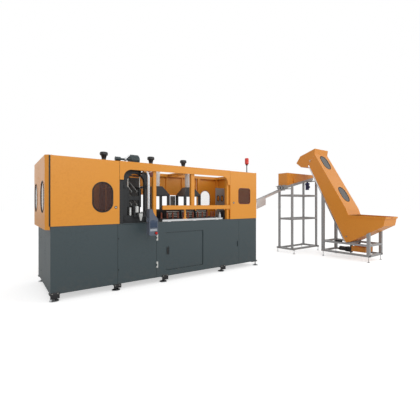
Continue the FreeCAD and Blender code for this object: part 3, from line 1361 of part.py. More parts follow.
def stretch_unit():
    """Under the table: two guide rods with a foot plate, and the stretch cylinder."""
    x0, x1 = stretch_guide_x()
    y = MOULD_SPLIT_Y
    low = STRETCH_PLATE_Z + 20.0
    rods = [rod((x, y, low), (0, 0, 1), TABLE_UNDERSIDE - low, GUIDE_ROD) for x in (x0, x1)]
    plate = box(x0 - GUIDE_ROD, x1 + GUIDE_ROD, y - 40.0, y + 40.0, STRETCH_PLATE_Z, low)
    height = TABLE_UNDERSIDE - STRETCH_CYLINDER_BOTTOM
    cylinder = rod((clamp_middle(), y, STRETCH_CYLINDER_BOTTOM), (0, 0, 1), height, 50.0)
    bore = rod((clamp_middle(), y, STRETCH_CYLINDER_BOTTOM - 1), (0, 0, 1), height - 20.0, 17.0)
    return compound([plate, cylinder.cut(bore)] + rods)


def stretch_carriage():
    """The bar that rides on the guide rods, with the piston rod and both stretch rods."""
    x0, x1 = stretch_guide_x()
    y, z = MOULD_SPLIT_Y, STRETCH_BAR_Z
    bar = box(x0 - GUIDE_ROD, x1 + GUIDE_ROD, y - 25.0, y + 25.0, z, z + STRETCH_BAR_HEIGHT)
    for x in (x0, x1):
        bar = bar.cut(rod((x, y, z - 1), (0, 0, 1), STRETCH_BAR_HEIGHT + 2, GUIDE_ROD + 2 * PIN_PLAY))
    foot = z + STRETCH_BAR_HEIGHT / 2
    piston = rod((clamp_middle(), y, foot), (0, 0, 1), STRETCH_CYLINDER_BOTTOM + 60.0 - foot, 16.0)
    top = MOULD_BOTTOM - STRETCH_REST_GAP
    rods = [rod((x, y, foot), (0, 0, 1), top - foot, STRETCH_ROD) for x in mould_centres()]
    return bar.fuse([piston] + rods)


# ---- operator pendant -----------------------------------------------------------------
def pendant_y():
    return ARM_Y - ARM_REACH


def pendant_bracket():
    """A plate under the front roof rail with the socket in which the arm turns."""
    half = ARM_SOCKET / 2 + 20.0
    plate = box(ARM_X - half, ARM_X + half, FRAME_FRONT, FRAME_FRONT + FRAME_TUBE + 10.0,
                RAIL_BASE_Z - 8.0, RAIL_BASE_Z)
    socket = tube_ring((ARM_X, ARM_Y, RAIL_BASE_Z - 60.0), (0, 0, 1), 52.0, ARM_SOCKET,
                       ARM_SPIGOT + 2 * PIN_PLAY)
    return plate.fuse(socket)


def pendant_arm():
    """A tube that hangs from the socket, reaches out and turns down to the pendant."""
    y = pendant_y()
    low = ARM_TOP - ARM_TUBE / 2
    spigot = rod((ARM_X, ARM_Y, low), (0, 0, 1), RAIL_BASE_Z - 10.0 - low, ARM_SPIGOT)
    bend = ARM_TUBE * 1.6
    part = bend * math.cos(math.pi / 4)
    path = Part.Wire([
        Part.LineSegment(V(ARM_X, ARM_Y, ARM_TOP), V(ARM_X, y + bend, ARM_TOP)).toShape(),
        Part.Arc(V(ARM_X, y + bend, ARM_TOP), V(ARM_X, y + bend - part, ARM_TOP - bend + part),
                 V(ARM_X, y, ARM_TOP - bend)).toShape(),
        Part.LineSegment(V(ARM_X, y, ARM_TOP - bend), V(ARM_X, y, ARM_BOTTOM)).toShape()])
    profile = Part.Wire([Part.makeCircle(ARM_TUBE / 2, V(ARM_X, ARM_Y, ARM_TOP), V(0, -1, 0))])
    return path.makePipeShell([profile], True, False).fuse(spigot)


def pendant_front():
    return pendant_y() - PENDANT_FORWARD - PENDANT_DEPTH / 2


def control_pendant():
    """The operator's pendant: a moulded box with a recessed screen and a key field."""
    y0, y1 = pendant_front(), pendant_front() + PENDANT_DEPTH
    left, right = ARM_X - ARM_TUBE / 2, ARM_X - ARM_TUBE / 2 + PENDANT_WIDTH
    low, high = PENDANT_BOTTOM, ARM_BOTTOM
    shoulder = high - PENDANT_SHOULDER
    outline = [(left, low + 20.0), (left + 20.0, low), (right - 20.0, low), (right, low + 20.0),
               (right, shoulder), (right - 65.0, high - PENDANT_SHOULDER / 2),
               (left + ARM_TUBE + 4.0, high), (left, high)]
    body = prism_y(outline, y0, y1)
    screen = box(left + 12.0, right - 12.0, y0 - 1, y0 + 4.0, shoulder - 130.0, shoulder - 10.0)
    keys = box(left + 12.0, right - 12.0, y0 - 1, y0 + 3.0, low + 66.0, shoulder - 146.0)
    hole = rod((stop_x(), y0 - 1, stop_z()), (0, 1, 0), 26.0, STOP_DIAMETER / 2 + 2 * PIN_PLAY)
    reach, plug_low, plug_high = PENDANT_PLUG
    plug = box(left - reach, left, y0 + 30.0, y1 - 30.0, low + plug_low, low + plug_high)
    return body.cut(screen).cut(keys).cut(hole).fuse(plug)


def stop_x():
    return ARM_X - ARM_TUBE / 2 + PENDANT_WIDTH - 34.0


def stop_z():
    return PENDANT_BOTTOM + 38.0


def stop_button():
    """A mushroom stop button with its stem in the pendant's face."""
    y0 = pendant_front()
    head = rod((stop_x(), y0 - STOP_TRAVEL - 12.0 - LIFT, stop_z()), (0, 1, 0), 12.0, STOP_DIAMETER)
    head = head.makeChamfer(3.0, [e for e in head.Edges if e.Curve.TypeId == "Part::GeomCircle"
                                  and e.Vertexes[0].Y < y0 - STOP_TRAVEL - 6.0])
    stem = rod((stop_x(), y0 - STOP_TRAVEL - LIFT, stop_z()), (0, 1, 0), STOP_TRAVEL + LIFT + 15.0,
               STOP_DIAMETER / 2)
    return head.fuse(stem)


# ---- chute and sorter -----------------------------------------------------------------
def feed_z(x):
    """Height of the rollers' axis above a place along the feeder."""
    return ROLLER_START_Z + (x - SORTER_X) * TAN_FEED


def sloped_plate(x0, x1, y0, y1, z_at, low, high):
    """A plate between two heights above a sloping line."""
    outline = [(x0, z_at(x0) + low), (x1, z_at(x1) + low), (x1, z_at(x1) + high), (x0, z_at(x0) + high)]
    return prism_y(outline, y0, y1)


def rail_ends():
    return SORTER_X - ROLLER_OVERHANG[0], SORTER_X + SORTER_LENGTH + ROLLER_OVERHANG[1]


def chute():
    """A long channel in which preforms hang and slide, with a guard plate before the machine."""
    half, t = CHUTE_WIDTH / 2, CHUTE_WALL
    x0, x1 = BODY_LENGTH - CHUTE_END_INSIDE, rail_ends()[0]
    channel = sloped_plate(x0, x1, FEED_Y - half, FEED_Y + half, chute_z, 0.0, CHUTE_HEIGHT)
    inside = sloped_plate(x0 - 1, x1 + 1, FEED_Y - half + t, FEED_Y + half - t, chute_z, t,
                          CHUTE_HEIGHT + 10.0)
    length, drop = CHUTE_NOTCH
    notch = sloped_plate(x1 - length, x1 + 1, FEED_Y - half - 1, FEED_Y + half + 1, chute_z,
                         CHUTE_HEIGHT - drop, CHUTE_HEIGHT + 10.0)
    start = BODY_LENGTH + CHUTE_GUARD_START
    guard = sloped_plate(start, start + CHUTE_GUARD_LENGTH, FEED_Y - half - t, FEED_Y - half, chute_z,
                         -CHUTE_GUARD_DROP, CHUTE_HEIGHT)
    return channel.cut(inside).cut(notch).fuse(guard)


def sorter_posts():
    x0, x1 = SORTER_X, SORTER_X + SORTER_LENGTH
    return [(x, y) for x in (x0, x1) for y in (SORTER_FRONT_Y, SORTER_REAR_Y)]


def crossbar_top(x):
    """The crossbar over a pair of posts ends just under the rails' lower side."""
    return feed_z(x - SORTER_TUBE / 2) + RAIL_LOW - WEDGE


def sorter_stand():
    """The tall stand of square tubes with the two sloping rails that carry the rollers."""
    half = SORTER_TUBE / 2
    x0, x1 = SORTER_X, SORTER_X + SORTER_LENGTH
    ya, yb = SORTER_FRONT_Y, SORTER_REAR_Y
    low, reach = SORTER_RINGS[0], 80.0
    foot_top = low + SORTER_TUBE
    pieces = []
    for x, rise in zip((x0, x1), FRONT_POST_RISE):
        top = crossbar_top(x)
        pieces.append(box(x - half, x + half, ya - half, ya + half, foot_top, feed_z(x) + rise))
        pieces.append(box(x - half, x + half, yb - half, yb + half, foot_top, top - CROSSBAR_TALL))
        pieces.append(box(x - half, x + half, ya + half, rail_side(1) + SORTER_RAIL, top - CROSSBAR_TALL,
                          top))
        pieces.append(box(x - half, x + half, ya - reach, yb + reach, low, foot_top))
    for y in (ya, yb):
        pieces.append(box(x0 + half, x1 - half, y - half, y + half, low, foot_top))
    for z in SORTER_RINGS[1:]:
        for y in (ya, yb):
            pieces.append(box(x0 + half, x1 - half, y - half, y + half, z, z + SORTER_TUBE))
        for x in (x0, x1):
            pieces.append(box(x - half, x + half, ya + half, yb - half, z, z + SORTER_TUBE))
    return compound(pieces + sorter_rails() + rail_wedges() + end_plates())


def roller_y(side):
    return FEED_Y + side * (ROLLER_DIAMETER + ROLLER_GAP) / 2


def rail_side(side):
    """The face of a rail that looks at the rollers; the other face touches the trough's wall."""
    return FEED_Y + side * (TROUGH_DEPTH / 2 - SHEET - SORTER_RAIL)


def rail_span(side):
    inner = rail_side(side)
    return sorted((inner, inner + side * SORTER_RAIL))


def sorter_rails():
    rails = []
    for side in (-1, 1):
        y0, y1 = rail_span(side)
        rails.append(sloped_plate(rail_ends()[0], rail_ends()[1], y0, y1, feed_z, RAIL_LOW, RAIL_HIGH))
    return rails


def rail_wedges():
    """Tapered packing pieces between the crossbars and the rails."""
    half = SORTER_TUBE / 2
    wedges = []
    for x in (SORTER_X, SORTER_X + SORTER_LENGTH):
        top = crossbar_top(x)
        outline = [(x - half, top), (x + half, top), (x + half, feed_z(x + half) + RAIL_LOW),
                   (x - half, feed_z(x - half) + RAIL_LOW)]
        for side in (-1, 1):
            y0, y1 = rail_span(side)
            wedges.append(prism_y(outline, y0, y1))
    return wedges


def end_plates():
    """Bearing plates between the rails; preforms pass through the gap in the middle of each pair."""
    plates = []
    for x, step in zip(rail_ends(), (END_PLATE, -END_PLATE)):
        a, b = sorted((x, x + step))
        for side in (-1, 1):
            y0, y1 = sorted((FEED_Y + side * ROLLER_GAP / 2, rail_side(side)))
            plate = sloped_plate(a, b, y0, y1, feed_z, END_PLATE_LOW, END_PLATE_HIGH)
            plates.append(plate.cut(slope_rod(x - 60.0, roller_y(side), 120.0, ROLLER_SHAFT + 2 * PIN_PLAY)))
    x, y = rail_ends()[0], rail_side(1) - END_PLATE
    plates.append(rod((x - 100.0, y - 5.0, feed_z(x) + 26.0), (1, 0, 0), 100.0, 14.0))
    return plates


def slope_rod(x, y, length, diameter):
    """A rod along the rollers' slope, starting above the place x."""
    a = math.radians(FEED_SLOPE)
    return rod((x, y, feed_z(x)), (math.cos(a), 0, math.sin(a)), length, diameter)


def sorter_roller(side):
    """A sorting roller with its shaft and, below the lower end plate, its belt pulley."""
    y = roller_y(side)
    c = math.cos(math.radians(FEED_SLOPE))
    x0, x1 = rail_ends()[0] + END_PLATE + LIFT, rail_ends()[1] - END_PLATE - LIFT
    body = slope_rod(x0 + 10.0, y, (x1 - x0 - 20.0) / c, ROLLER_DIAMETER)
    setback, width, diameter = PULLEY
    shaft = slope_rod(x0 - setback - 6.0, y, (x1 - x0 + setback + 14.0) / c, ROLLER_SHAFT)
    pulley = slope_rod(x0 - setback, y, width, diameter)
    return body.fuse([shaft, pulley])


def sorter_trough():
    """The orange trough over the rollers: open above and below, its lower edge rising with them."""
    x0, x1 = SORTER_X, SORTER_X + TROUGH_LENGTH
    y0, y1 = FEED_Y - TROUGH_DEPTH / 2, FEED_Y + TROUGH_DEPTH / 2
    t = SHEET
    outline = [(x0, feed_z(x0) + TROUGH_EDGE), (x1, feed_z(x1) + TROUGH_EDGE), (x1, TROUGH_TOP),
               (x0, TROUGH_TOP)]
    low = feed_z(x0)
    inside = [(x0 + t, low), (x1 - t, low), (x1 - t, TROUGH_TOP + 1), (x0 + t, TROUGH_TOP + 1)]
    walls = prism_y(outline, y0, y1).cut(prism_y(inside, y0 + t, y1 - t))
    walls = walls.cut(box(x0 - 1, x0 + 2 * t, y0 + t, y1 - t, low, feed_z(x0 + t) + RAIL_HIGH + LIFT))
    along, rise, depth, diameter = KNOB
    knob = rod((x0 + along, y0 - depth, feed_z(x0 + along) + rise), (0, 1, 0), depth, diameter)
    return compound([walls, knob])


def sorter_motor():
    """The rollers' drive motor, hung under the front rail near its upper end."""
    x = SORTER_X + SORTER_MOTOR_X
    y0, y1 = rail_span(-1)
    y = (y0 + y1) / 2
    top = feed_z(x) - SORTER_MOTOR_DROP
    low = top - SORTER_MOTOR_LENGTH
    plate = sloped_plate(x - 50.0, x + 50.0, y0, y1, feed_z, RAIL_LOW - 12.0, RAIL_LOW)
    body = rod((x, y, low), (0, 0, 1), SORTER_MOTOR_LENGTH - 50.0, 100.0)
    gearbox = box(x - 45.0, x + 45.0, y - 45.0, y + 45.0, top - 60.0, top)
    neck = box(x - 30.0, x + 30.0, y - 14.0, y + 14.0, top - 10.0, feed_z(x - 30.0) + RAIL_LOW - 4.0)
    return body.fuse([gearbox, neck, plate])


# ---- elevator -------------------------------------------------------------------------
def elevator_posts():
    x0, x1 = ELEVATOR_X, ELEVATOR_X + ELEVATOR_WIDTH
    return [(x, y) for x in (x0, x1) for y in (ELEVATOR_FRONT_Y, ELEVATOR_REAR_Y)]


def feeder_foot_points():
    """Centres of the feeder's small feet and the height at which each one ends."""
    reach = 60.0
    points = [(x, SORTER_FRONT_Y - reach, SORTER_RINGS[0]) for x in (SORTER_X, SORTER_X + SORTER_LENGTH)]
    points += [(x, SORTER_REAR_Y + reach, SORTER_RINGS[0]) for x in (SORTER_X, SORTER_X + SORTER_LENGTH)]
    return points + [(x, y, ELEVATOR_RING_Z) for x, y in elevator_posts()]


def line_at(a, b, y):
    """Height on the line through two (y, z) points."""
    return a[1] + (y - a[0]) * (b[1] - a[1]) / (b[0] - a[0])


def elevator_frame():
    """Square tube frame: a floor ring, a middle ring, short front posts and tall rear posts."""
    half = ELEVATOR_TUBE / 2
    x0, x1 = ELEVATOR_X, ELEVATOR_X + ELEVATOR_WIDTH
    ya, yb = ELEVATOR_FRONT_Y, ELEVATOR_REAR_Y
    pieces = []
    z = ELEVATOR_RING_Z
    thin = ELEVATOR_THIN
    for x in (x0, x1):
        pieces.append(box(x - half, x + half, ya - half, yb + half, z, z + thin))
        low = z + thin
        front_top = [line_at(HOPPER_TOE, HOPPER_KNEE, ya + s * half) for s in (-1, 1)]
        rear_top = [line_at(CASING_BACK[0], CASING_BACK[1], yb + s * half) for s in (-1, 1)]
        pieces.append(prism_x([(ya - half, low), (ya + half, low), (ya + half, front_top[1]),
                               (ya - half, front_top[0])], x - half, x + half))
        pieces.append(prism_x([(yb - half, low), (yb + half, low), (yb + half, rear_top[1]),
                               (yb - half, rear_top[0])], x - half, x + half))
        pieces.append(box(x - half, x + half, ya + half, yb - half, ELEVATOR_MID_Z - thin, ELEVATOR_MID_Z))
    for y in (ya, yb):
        pieces.append(box(x0 + half, x1 - half, y - half, y + half, z, z + thin))
        pieces.append(box(x0 + half, x1 - half, y - half, y + half, ELEVATOR_MID_Z - thin, ELEVATOR_MID_Z))
    y = CASING_BACK[0][0]
    pieces.append(box(x0 + half, x1 - half, y - thin, y, ELEVATOR_MID_Z - thin, ELEVATOR_MID_Z))
    return compound(pieces)


def casing_outline():
    return [CASING_BACK[0], CASING_BACK[1], CASING_FRONT[0], CASING_FRONT[1], CASING_SKIRT, CASING_HEEL]


def casing_slot(index, lap, depth_from, depth):
    """A stadium across the casing's front face: index 0 is the upper window."""
    a, b = CASING_FRONT[1], CASING_FRONT[0]
    length = math.hypot(b[0] - a[0], b[1] - a[1])
    u = V(0, (b[0] - a[0]) / length, (b[1] - a[1]) / length)
    n = V(0, -u.z, u.y)
    middle_x = ELEVATOR_X + ELEVATOR_WIDTH / 2
    half_long, half_wide = CASING_WINDOW[0] / 2 + lap, CASING_WINDOW[1] / 2 + lap
    drop, spacing = CASING_WINDOW_DROP
    centre = V(middle_x, a[0], a[1]) + u * (length - drop - index * spacing) + n * depth_from
    side = V(half_wide, 0, 0)
    run = u * (half_long - half_wide)
    corners = [centre - side - run, centre + side - run, centre + side + run, centre - side + run]
    body = Part.Face(Part.makePolygon(corners + [corners[0]])).extrude(n * depth)
    ends = [Part.makeCylinder(half_wide, depth, centre + run * s, n) for s in (-1, 1)]
    return body.fuse(ends).removeSplitter()


def with_shaft_holes(body):
    """Bore both drums' shaft holes through the side walls."""
    x0, x1 = ELEVATOR_X - 60.0, ELEVATOR_X + ELEVATOR_WIDTH + 60.0
    for along in (TAIL_ALONG, HEAD_ALONG):
        y, z = drum_centre(along)
        body = body.cut(rod((x0, y, z), (1, 0, 0), x1 - x0, DRUM_SHAFT + 2 * PIN_PLAY))
    return body


def elevator_casing():
    """The slanted orange casing: sheet walls, open to the hopper below and to the hood above."""
    x0, x1 = ELEVATOR_X, ELEVATOR_X + ELEVATOR_WIDTH
    outline = casing_outline()
    walls = [SHEET, -60.0, SHEET, SHEET, -60.0, -60.0]
    body = prism_x(outline, x0, x1)
    body = body.cut(prism_x(offset_outline(outline, walls), x0 + SHEET, x1 - SHEET))
    for index in (0, 1):
        body = body.cut(casing_slot(index, 0.0, -3 * SHEET, 6 * SHEET))
    return with_shaft_holes(body)


def towards(a, b, distance):
    """The point a set distance from a on the way to b."""
    length = math.hypot(b[0] - a[0], b[1] - a[1])
    return a[0] + (b[0] - a[0]) * distance / length, a[1] + (b[1] - a[1]) * distance / length


def elevator_hood():
    """The hood over the head drum; preforms fall out of its open lower rear face."""
    x0, x1 = ELEVATOR_X - SHEET, ELEVATOR_X + ELEVATOR_WIDTH + SHEET
    back, front = CASING_BACK[1], CASING_FRONT[0]
    outline = list(HOOD_PROFILE) + [back, front]
    walls = [SHEET, SHEET, -60.0, SHEET, -60.0, -60.0, SHEET]
    body = prism_x(outline, x0, x1)
    body = body.cut(prism_x(offset_outline(outline, walls), x0 + SHEET, x1 - SHEET))
    lap = [front, back, towards(back, CASING_BACK[0], HOOD_LAP), towards(front, CASING_FRONT[1], HOOD_LAP)]
    strips = [prism_x(lap, x0, x0 + SHEET), prism_x(lap, x1 - SHEET, x1)]
    return with_shaft_holes(body.fuse(strips))


def hopper_outline():
    return [CASING_BACK[0], CASING_HEEL, CASING_SKIRT, HOPPER_TIP, HOPPER_KNEE, HOPPER_TOE]


def hopper():
    """The open hopper at the elevator's foot with a stiff rim and a hand slot in it."""
    x0, x1 = ELEVATOR_X, ELEVATOR_X + ELEVATOR_WIDTH
    outline = hopper_outline()
    walls = [-60.0, -60.0, -60.0, SHEET, SHEET, SHEET]
    body = prism_x(outline, x0, x1)
    body = body.cut(prism_x(offset_outline(outline, walls), x0 + SHEET, x1 - SHEET))
    out = HOPPER_RIM_OUT
    a, b = CASING_SKIRT, HOPPER_TIP
    band = [(a[0], a[1]), (b[0] - out, b[1]), (b[0] - out, b[1] - HOPPER_RIM), (a[0], a[1] - HOPPER_RIM)]
    rim = prism_x(band, x0 - out, x1 + out)
    rim = rim.cut(prism_x(offset_outline(outline, [0, 0, -60.0, 0, 0, 0]), x0, x1))
    slot = box(ELEVATOR_X + ELEVATOR_WIDTH / 2 - 70.0, ELEVATOR_X + ELEVATOR_WIDTH / 2 + 70.0,
               b[0] - 2 * out, b[0] + 3 * out, b[1] - 30.0, b[1] - 12.0)
    return compound([with_shaft_holes(body.fuse(rim).cut(slot)), hopper_pan()])


def hopper_pan():
    """A shallow tray under the hopper, hung from the middle ring by four bent strips."""
    x0, x1 = ELEVATOR_X + 130.0, ELEVATOR_X + ELEVATOR_WIDTH - 110.0
    z0, z1 = PAN_Z
    t = SHEET
    tray = box(x0, x1, PAN_FRONT_Y, PAN_BACK_Y, z0, z1)
    tray = tray.cut(box(x0 + t, x1 - t, PAN_FRONT_Y + t, PAN_BACK_Y - t, z0 + t, z1 + 1))
    high = ELEVATOR_MID_Z - ELEVATOR_THIN
    front, back = ELEVATOR_FRONT_Y + ELEVATOR_TUBE / 4, CASING_BACK[0][0] - ELEVATOR_THIN / 3
    strips = []
    for x in (x0 + 40.0, x1 - 80.0):
        strips.append(box(x, x + 40.0, PAN_FRONT_Y, PAN_FRONT_Y + t, z1 - 20.0, high))
        strips.append(box(x, x + 40.0, front, PAN_FRONT_Y + t, high - t, high))
        strips.append(box(x, x + 40.0, PAN_BACK_Y - t, PAN_BACK_Y, z1 - 20.0, high))
        strips.append(box(x, x + 40.0, PAN_BACK_Y - t, back, high - t, high))
    return tray.fuse(strips)


def drum_centre(along):
    """A drum's axis, a set distance in front of the casing's back."""
    a, b = CASING_BACK
    length = math.hypot(b[0] - a[0], b[1] - a[1])
    u = ((b[0] - a[0]) / length, (b[1] - a[1]) / length)
    return a[0] + u[0] * along - u[1] * DRUM_SETBACK, a[1] + u[1] * along + u[0] * DRUM_SETBACK


def drum(along, reach):
    """A belt drum with its shaft through both walls; reach is its end past the right wall."""
    y, z = drum_centre(along)
    x0, x1 = ELEVATOR_X, ELEVATOR_X + ELEVATOR_WIDTH
    barrel = rod((x0 + 20.0, y, z), (1, 0, 0), ELEVATOR_WIDTH - 40.0, DRUM_DIAMETER)
    shaft = rod((x0 - 30.0, y, z), (1, 0, 0), x1 - x0 + 30.0 + reach, DRUM_SHAFT)
    return barrel.fuse(shaft)


def belt_loop(radius, x0, x1):
    """A solid with straight sides round both drums."""
    (ya, za), (yb, zb) = drum_centre(TAIL_ALONG), drum_centre(HEAD_ALONG)
    length = math.hypot(yb - ya, zb - za)
    n = (-(zb - za) / length * radius, (yb - ya) / length * radius)
    block = prism_x([(ya - n[0], za - n[1]), (yb - n[0], zb - n[1]), (yb + n[0], zb + n[1]),
                     (ya + n[0], za + n[1])], x0, x1)
    ends = [rod((x0, y, z), (1, 0, 0), x1 - x0, 2 * radius) for y, z in ((ya, za), (yb, zb))]
    return block.fuse(ends).removeSplitter()


def cleated_belt():
    """The endless belt with cleats that lift the preforms."""
    inner = DRUM_DIAMETER / 2 + BELT_CLEARANCE
    x0, x1 = ELEVATOR_X + 30.0, ELEVATOR_X + ELEVATOR_WIDTH - 30.0
    belt = belt_loop(inner + BELT, x0, x1).cut(belt_loop(inner, x0 - 1, x1 + 1))
    (ya, za), (yb, zb) = drum_centre(TAIL_ALONG), drum_centre(HEAD_ALONG)
    length = math.hypot(yb - ya, zb - za)
    u = ((yb - ya) / length, (zb - za) / length)
    n = (-u[1], u[0])
    count = int(length // CLEAT_PITCH)
    cleats = []
    for k in range(count):
        s = (k + 0.5) * length / count
        for side, tall in ((1, CLEAT), (-1, DRUM_SETBACK - inner - BELT - 4 * SHEET)):
            base = inner + BELT / 2
            tip = inner + BELT + tall
            if tall <= 0:
                continue
            points = [(ya + u[0] * (s + d) + n[0] * r * side, za + u[1] * (s + d) + n[1] * r * side)
                      for d, r in ((-3.0, base), (3.0, base), (3.0, tip), (-3.0, tip))]
            cleats.append(prism_x(points, x0, x1))
    return belt.fuse(cleats)


def chain_guard_outline(radius, x0, x1):
    """A flat box with round ends from the gearbox's shaft to the tail drum's shaft."""
    (ya, za), (yb, zb) = (GEARBOX_Y, GEARBOX_Z), drum_centre(TAIL_ALONG)
    length = math.hypot(yb - ya, zb - za)
    n = (-(zb - za) / length * radius, (yb - ya) / length * radius)
    block = prism_x([(ya - n[0], za - n[1]), (yb - n[0], zb - n[1]), (yb + n[0], zb + n[1]),
                     (ya + n[0], za + n[1])], x0, x1)
    ends = [rod((x0, y, z), (1, 0, 0), x1 - x0, 2 * radius) for y, z in ((ya, za), (yb, zb))]
    return block.fuse(ends).removeSplitter()


def elevator_gearmotor():
    """Gearbox and motor on a plate behind the heel member, output shaft, chain guard, switch box."""
    half = GEARBOX / 2
    x, y, z = ELEVATOR_X + GEARBOX_FROM_LEFT, GEARBOX_Y, GEARBOX_Z
    side = ELEVATOR_X + ELEVATOR_WIDTH + ELEVATOR_TUBE / 2
    body = box(x - half, x + half, y - half, y + half, z - half, z + half)
    heel = CASING_BACK[0][0]
    plate = box(x - half, x + half, heel, y - half + 1.0, z - half - 20.0, ELEVATOR_MID_Z - 7.0)
    motor = rod((x, y + half - 1.0, z), (0, 1, 0), 170.0, DRIVE_MOTOR)
    shaft = rod((x + half - 1.0, y, z), (1, 0, 0), side + CHAIN_GUARD_DEPTH - 10.0 - x - half,
                DRIVE_SHAFT)
    radius = CHAIN_GUARD_WIDTH / 2
    guard = chain_guard_outline(radius, side, side + CHAIN_GUARD_DEPTH)
    guard = guard.cut(chain_guard_outline(radius - SHEET, side - 1.0, side + CHAIN_GUARD_DEPTH - SHEET))
    left = ELEVATOR_X - ELEVATOR_TUBE / 2
    switch = box(left + 2.0, left + ELEVATOR_TUBE - 2.0, heel + 97.0, heel + 247.0, ELEVATOR_MID_Z,
                 ELEVATOR_MID_Z + 48.0)
    return compound([body.fuse([plate, motor, shaft]), guard, switch])


# ---- build ----------------------------------------------------------------------------
def build():
    return {
        "base_frame": base_frame(),
        "table_plate": table_plate(),
        "base_panels": base_panels(),
        "base_door": base_door(),
        "base_door_hinges": base_door_hinges(),
        "service_door": service_door(),
        "latch_lever": latch_lever(),
        "levelling_feet": levelling_feet(),
        "upper_frame": upper_frame(),
        "left_end_cover": left_end_cover(),
        "front_left_door": front_left_door(),
        "front_right_door": front_right_door(),
        "left_door_pane": left_door_pane(),
        "right_door_pane": right_door_pane(),
        "left_door_lock": door_lock(lock_x_left(), LEFT_LOCK_Z),
        "right_door_lock": door_lock(lock_x_right(), RIGHT_LOCK_Z),
        "header_panel": header_panel(),
        "right_end_panel": right_end_panel(),
        "rear_panels": rear_panels(),
        "window_panes": window_panes(),
        "guard_frame": guard_frame(),
        "guide_rail": guide_rail(),
        "roof_caps": roof_caps(),
        "roof_blower": roof_blower(),
        "beacon_pole": beacon_pole(),
        "beacon_lens": beacon_lens(),
        "oven_hoods": oven_hoods(),
        "exhaust_ducts": exhaust_ducts(),
        "preform_track": preform_track(),
        "preform_carriers": preform_carriers(),
        "lamp_banks": lamp_banks(),
        "heater_lamps": heater_lamps(),
        "infeed_plate": infeed_plate(),
        "clamp_yokes": clamp_yokes(),
        "tie_bars": tie_bars(),
        "front_mould_platen": front_mould_platen(),
        "rear_mould_platen": rear_mould_platen(),
        "crosshead": crosshead(),
        "upper_links": toggle_links(link_levels()[0]),
        "lower_links": toggle_links(link_levels()[1]),
        "clamp_pneumatics": clamp_pneumatics(),
        "stretch_unit": stretch_unit(),
        "stretch_carriage": stretch_carriage(),
        "pendant_arm": pendant_arm(),
        "control_pendant": control_pendant(),
        "stop_button": stop_button(),
        "chute": chute(),
        "sorter_stand": sorter_stand(),
        "sorter_trough": sorter_trough(),
        "front_sorter_roller": sorter_roller(-1),
        "rear_sorter_roller": sorter_roller(1),
        "sorter_motor": sorter_motor(),
        "elevator_frame": elevator_frame(),
        "elevator_casing": elevator_casing(),
        "elevator_hood": elevator_hood(),
        "hopper": hopper(),
        "cleated_belt": cleated_belt(),
        "head_drum": drum(HEAD_ALONG, 30.0),
        "tail_drum": drum(TAIL_ALONG, 60.0),
        "elevator_gearmotor": elevator_gearmotor(),
    }


def main():
    os.makedirs("parts", exist_ok=True)
    shapes = build()
    whole = Part.makeCompound(list(shapes.values())).BoundBox
    origin = V((whole.XMin + whole.XMax) / 2, (whole.YMin + whole.YMax) / 2, whole.ZMin)
    for name, shape in shapes.items():
        shape.translate(origin * -1.0)
        shape.exportStep("parts/" + name + ".step")
    size = (whole.XLength, whole.YLength, whole.ZLength)
    print("size (mm):", [round(s, 1) for s in size], "origin moved by", [round(c, 1) for c in origin])


main()
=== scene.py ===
# %% [markdown]
# # A blow moulding machine and its preform feeder
# The machine heats small plastic preforms, clamps them in moulds and blows them into bottles.
# Its solids come packed from CAD. This lesson dresses them: paint, glass, metal and rubber as
# node materials, and the small parts that a drawing leaves plain, such as seals, screws, fins
# and keys, as meshes made with bmesh operators.

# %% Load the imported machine
import math

import bmesh
import bpy
from mathutils import Matrix, Vector


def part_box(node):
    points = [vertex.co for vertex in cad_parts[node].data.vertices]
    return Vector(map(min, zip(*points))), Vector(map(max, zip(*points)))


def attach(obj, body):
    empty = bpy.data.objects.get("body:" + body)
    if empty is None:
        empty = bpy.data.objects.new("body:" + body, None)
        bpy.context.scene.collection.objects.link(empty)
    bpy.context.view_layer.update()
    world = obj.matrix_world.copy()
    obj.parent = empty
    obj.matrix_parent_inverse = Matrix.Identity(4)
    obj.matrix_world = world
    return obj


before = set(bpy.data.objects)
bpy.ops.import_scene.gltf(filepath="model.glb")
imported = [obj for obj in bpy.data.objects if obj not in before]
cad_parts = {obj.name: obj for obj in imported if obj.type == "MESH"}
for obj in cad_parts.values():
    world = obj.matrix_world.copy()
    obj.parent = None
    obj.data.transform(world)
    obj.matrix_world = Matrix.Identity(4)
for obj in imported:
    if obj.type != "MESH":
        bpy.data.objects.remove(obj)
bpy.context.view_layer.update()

# %% [markdown]
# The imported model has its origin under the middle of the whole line. Places on the machine are
# easier to read from its own front left corner, so every place below is given from there, in
# metres: X to the right, Y to the back, Z up. The closed left door gives that corner.

# %% The machine's own corner
DOOR_EDGE_GAP = 0.008
door_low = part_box("front_left_door")[0]
CORNER = Vector((door_low[0] - DOOR_EDGE_GAP, door_low[1], 0.0))
RIGHT, BACK, UP = Vector((1, 0, 0)), Vector((0, 1, 0)), Vector((0, 0, 1))


def spot(x, y, z):
    return CORNER + Vector((x, y, z))


print("machine corner", tuple(round(c, 4) for c in CORNER))

# %% [markdown]
# The camera stands low in front of the machine's left half, with a wide lens. Its place and
# turn come from lines on the object that are known to be level or upright.

# %% Camera
LENS = 24.59
CAMERA_TURN = math.radians(-36.55)
camera_data = bpy.data.cameras.new("camera")
camera_data.lens = LENS
camera_data.sensor_width = 36.0
camera_data.shift_y = -0.0151
camera = bpy.data.objects.new("camera", camera_data)
camera.location = spot(-0.5653, -4.3752, 1.3389)
camera.rotation_euler = (math.radians(90), 0, CAMERA_TURN)
bpy.context.scene.collection.objects.link(camera)
bpy.context.scene.camera = camera
bpy.context.scene.view_settings.view_transform = "Standard"
print("camera at", tuple(round(c, 3) for c in camera.location))

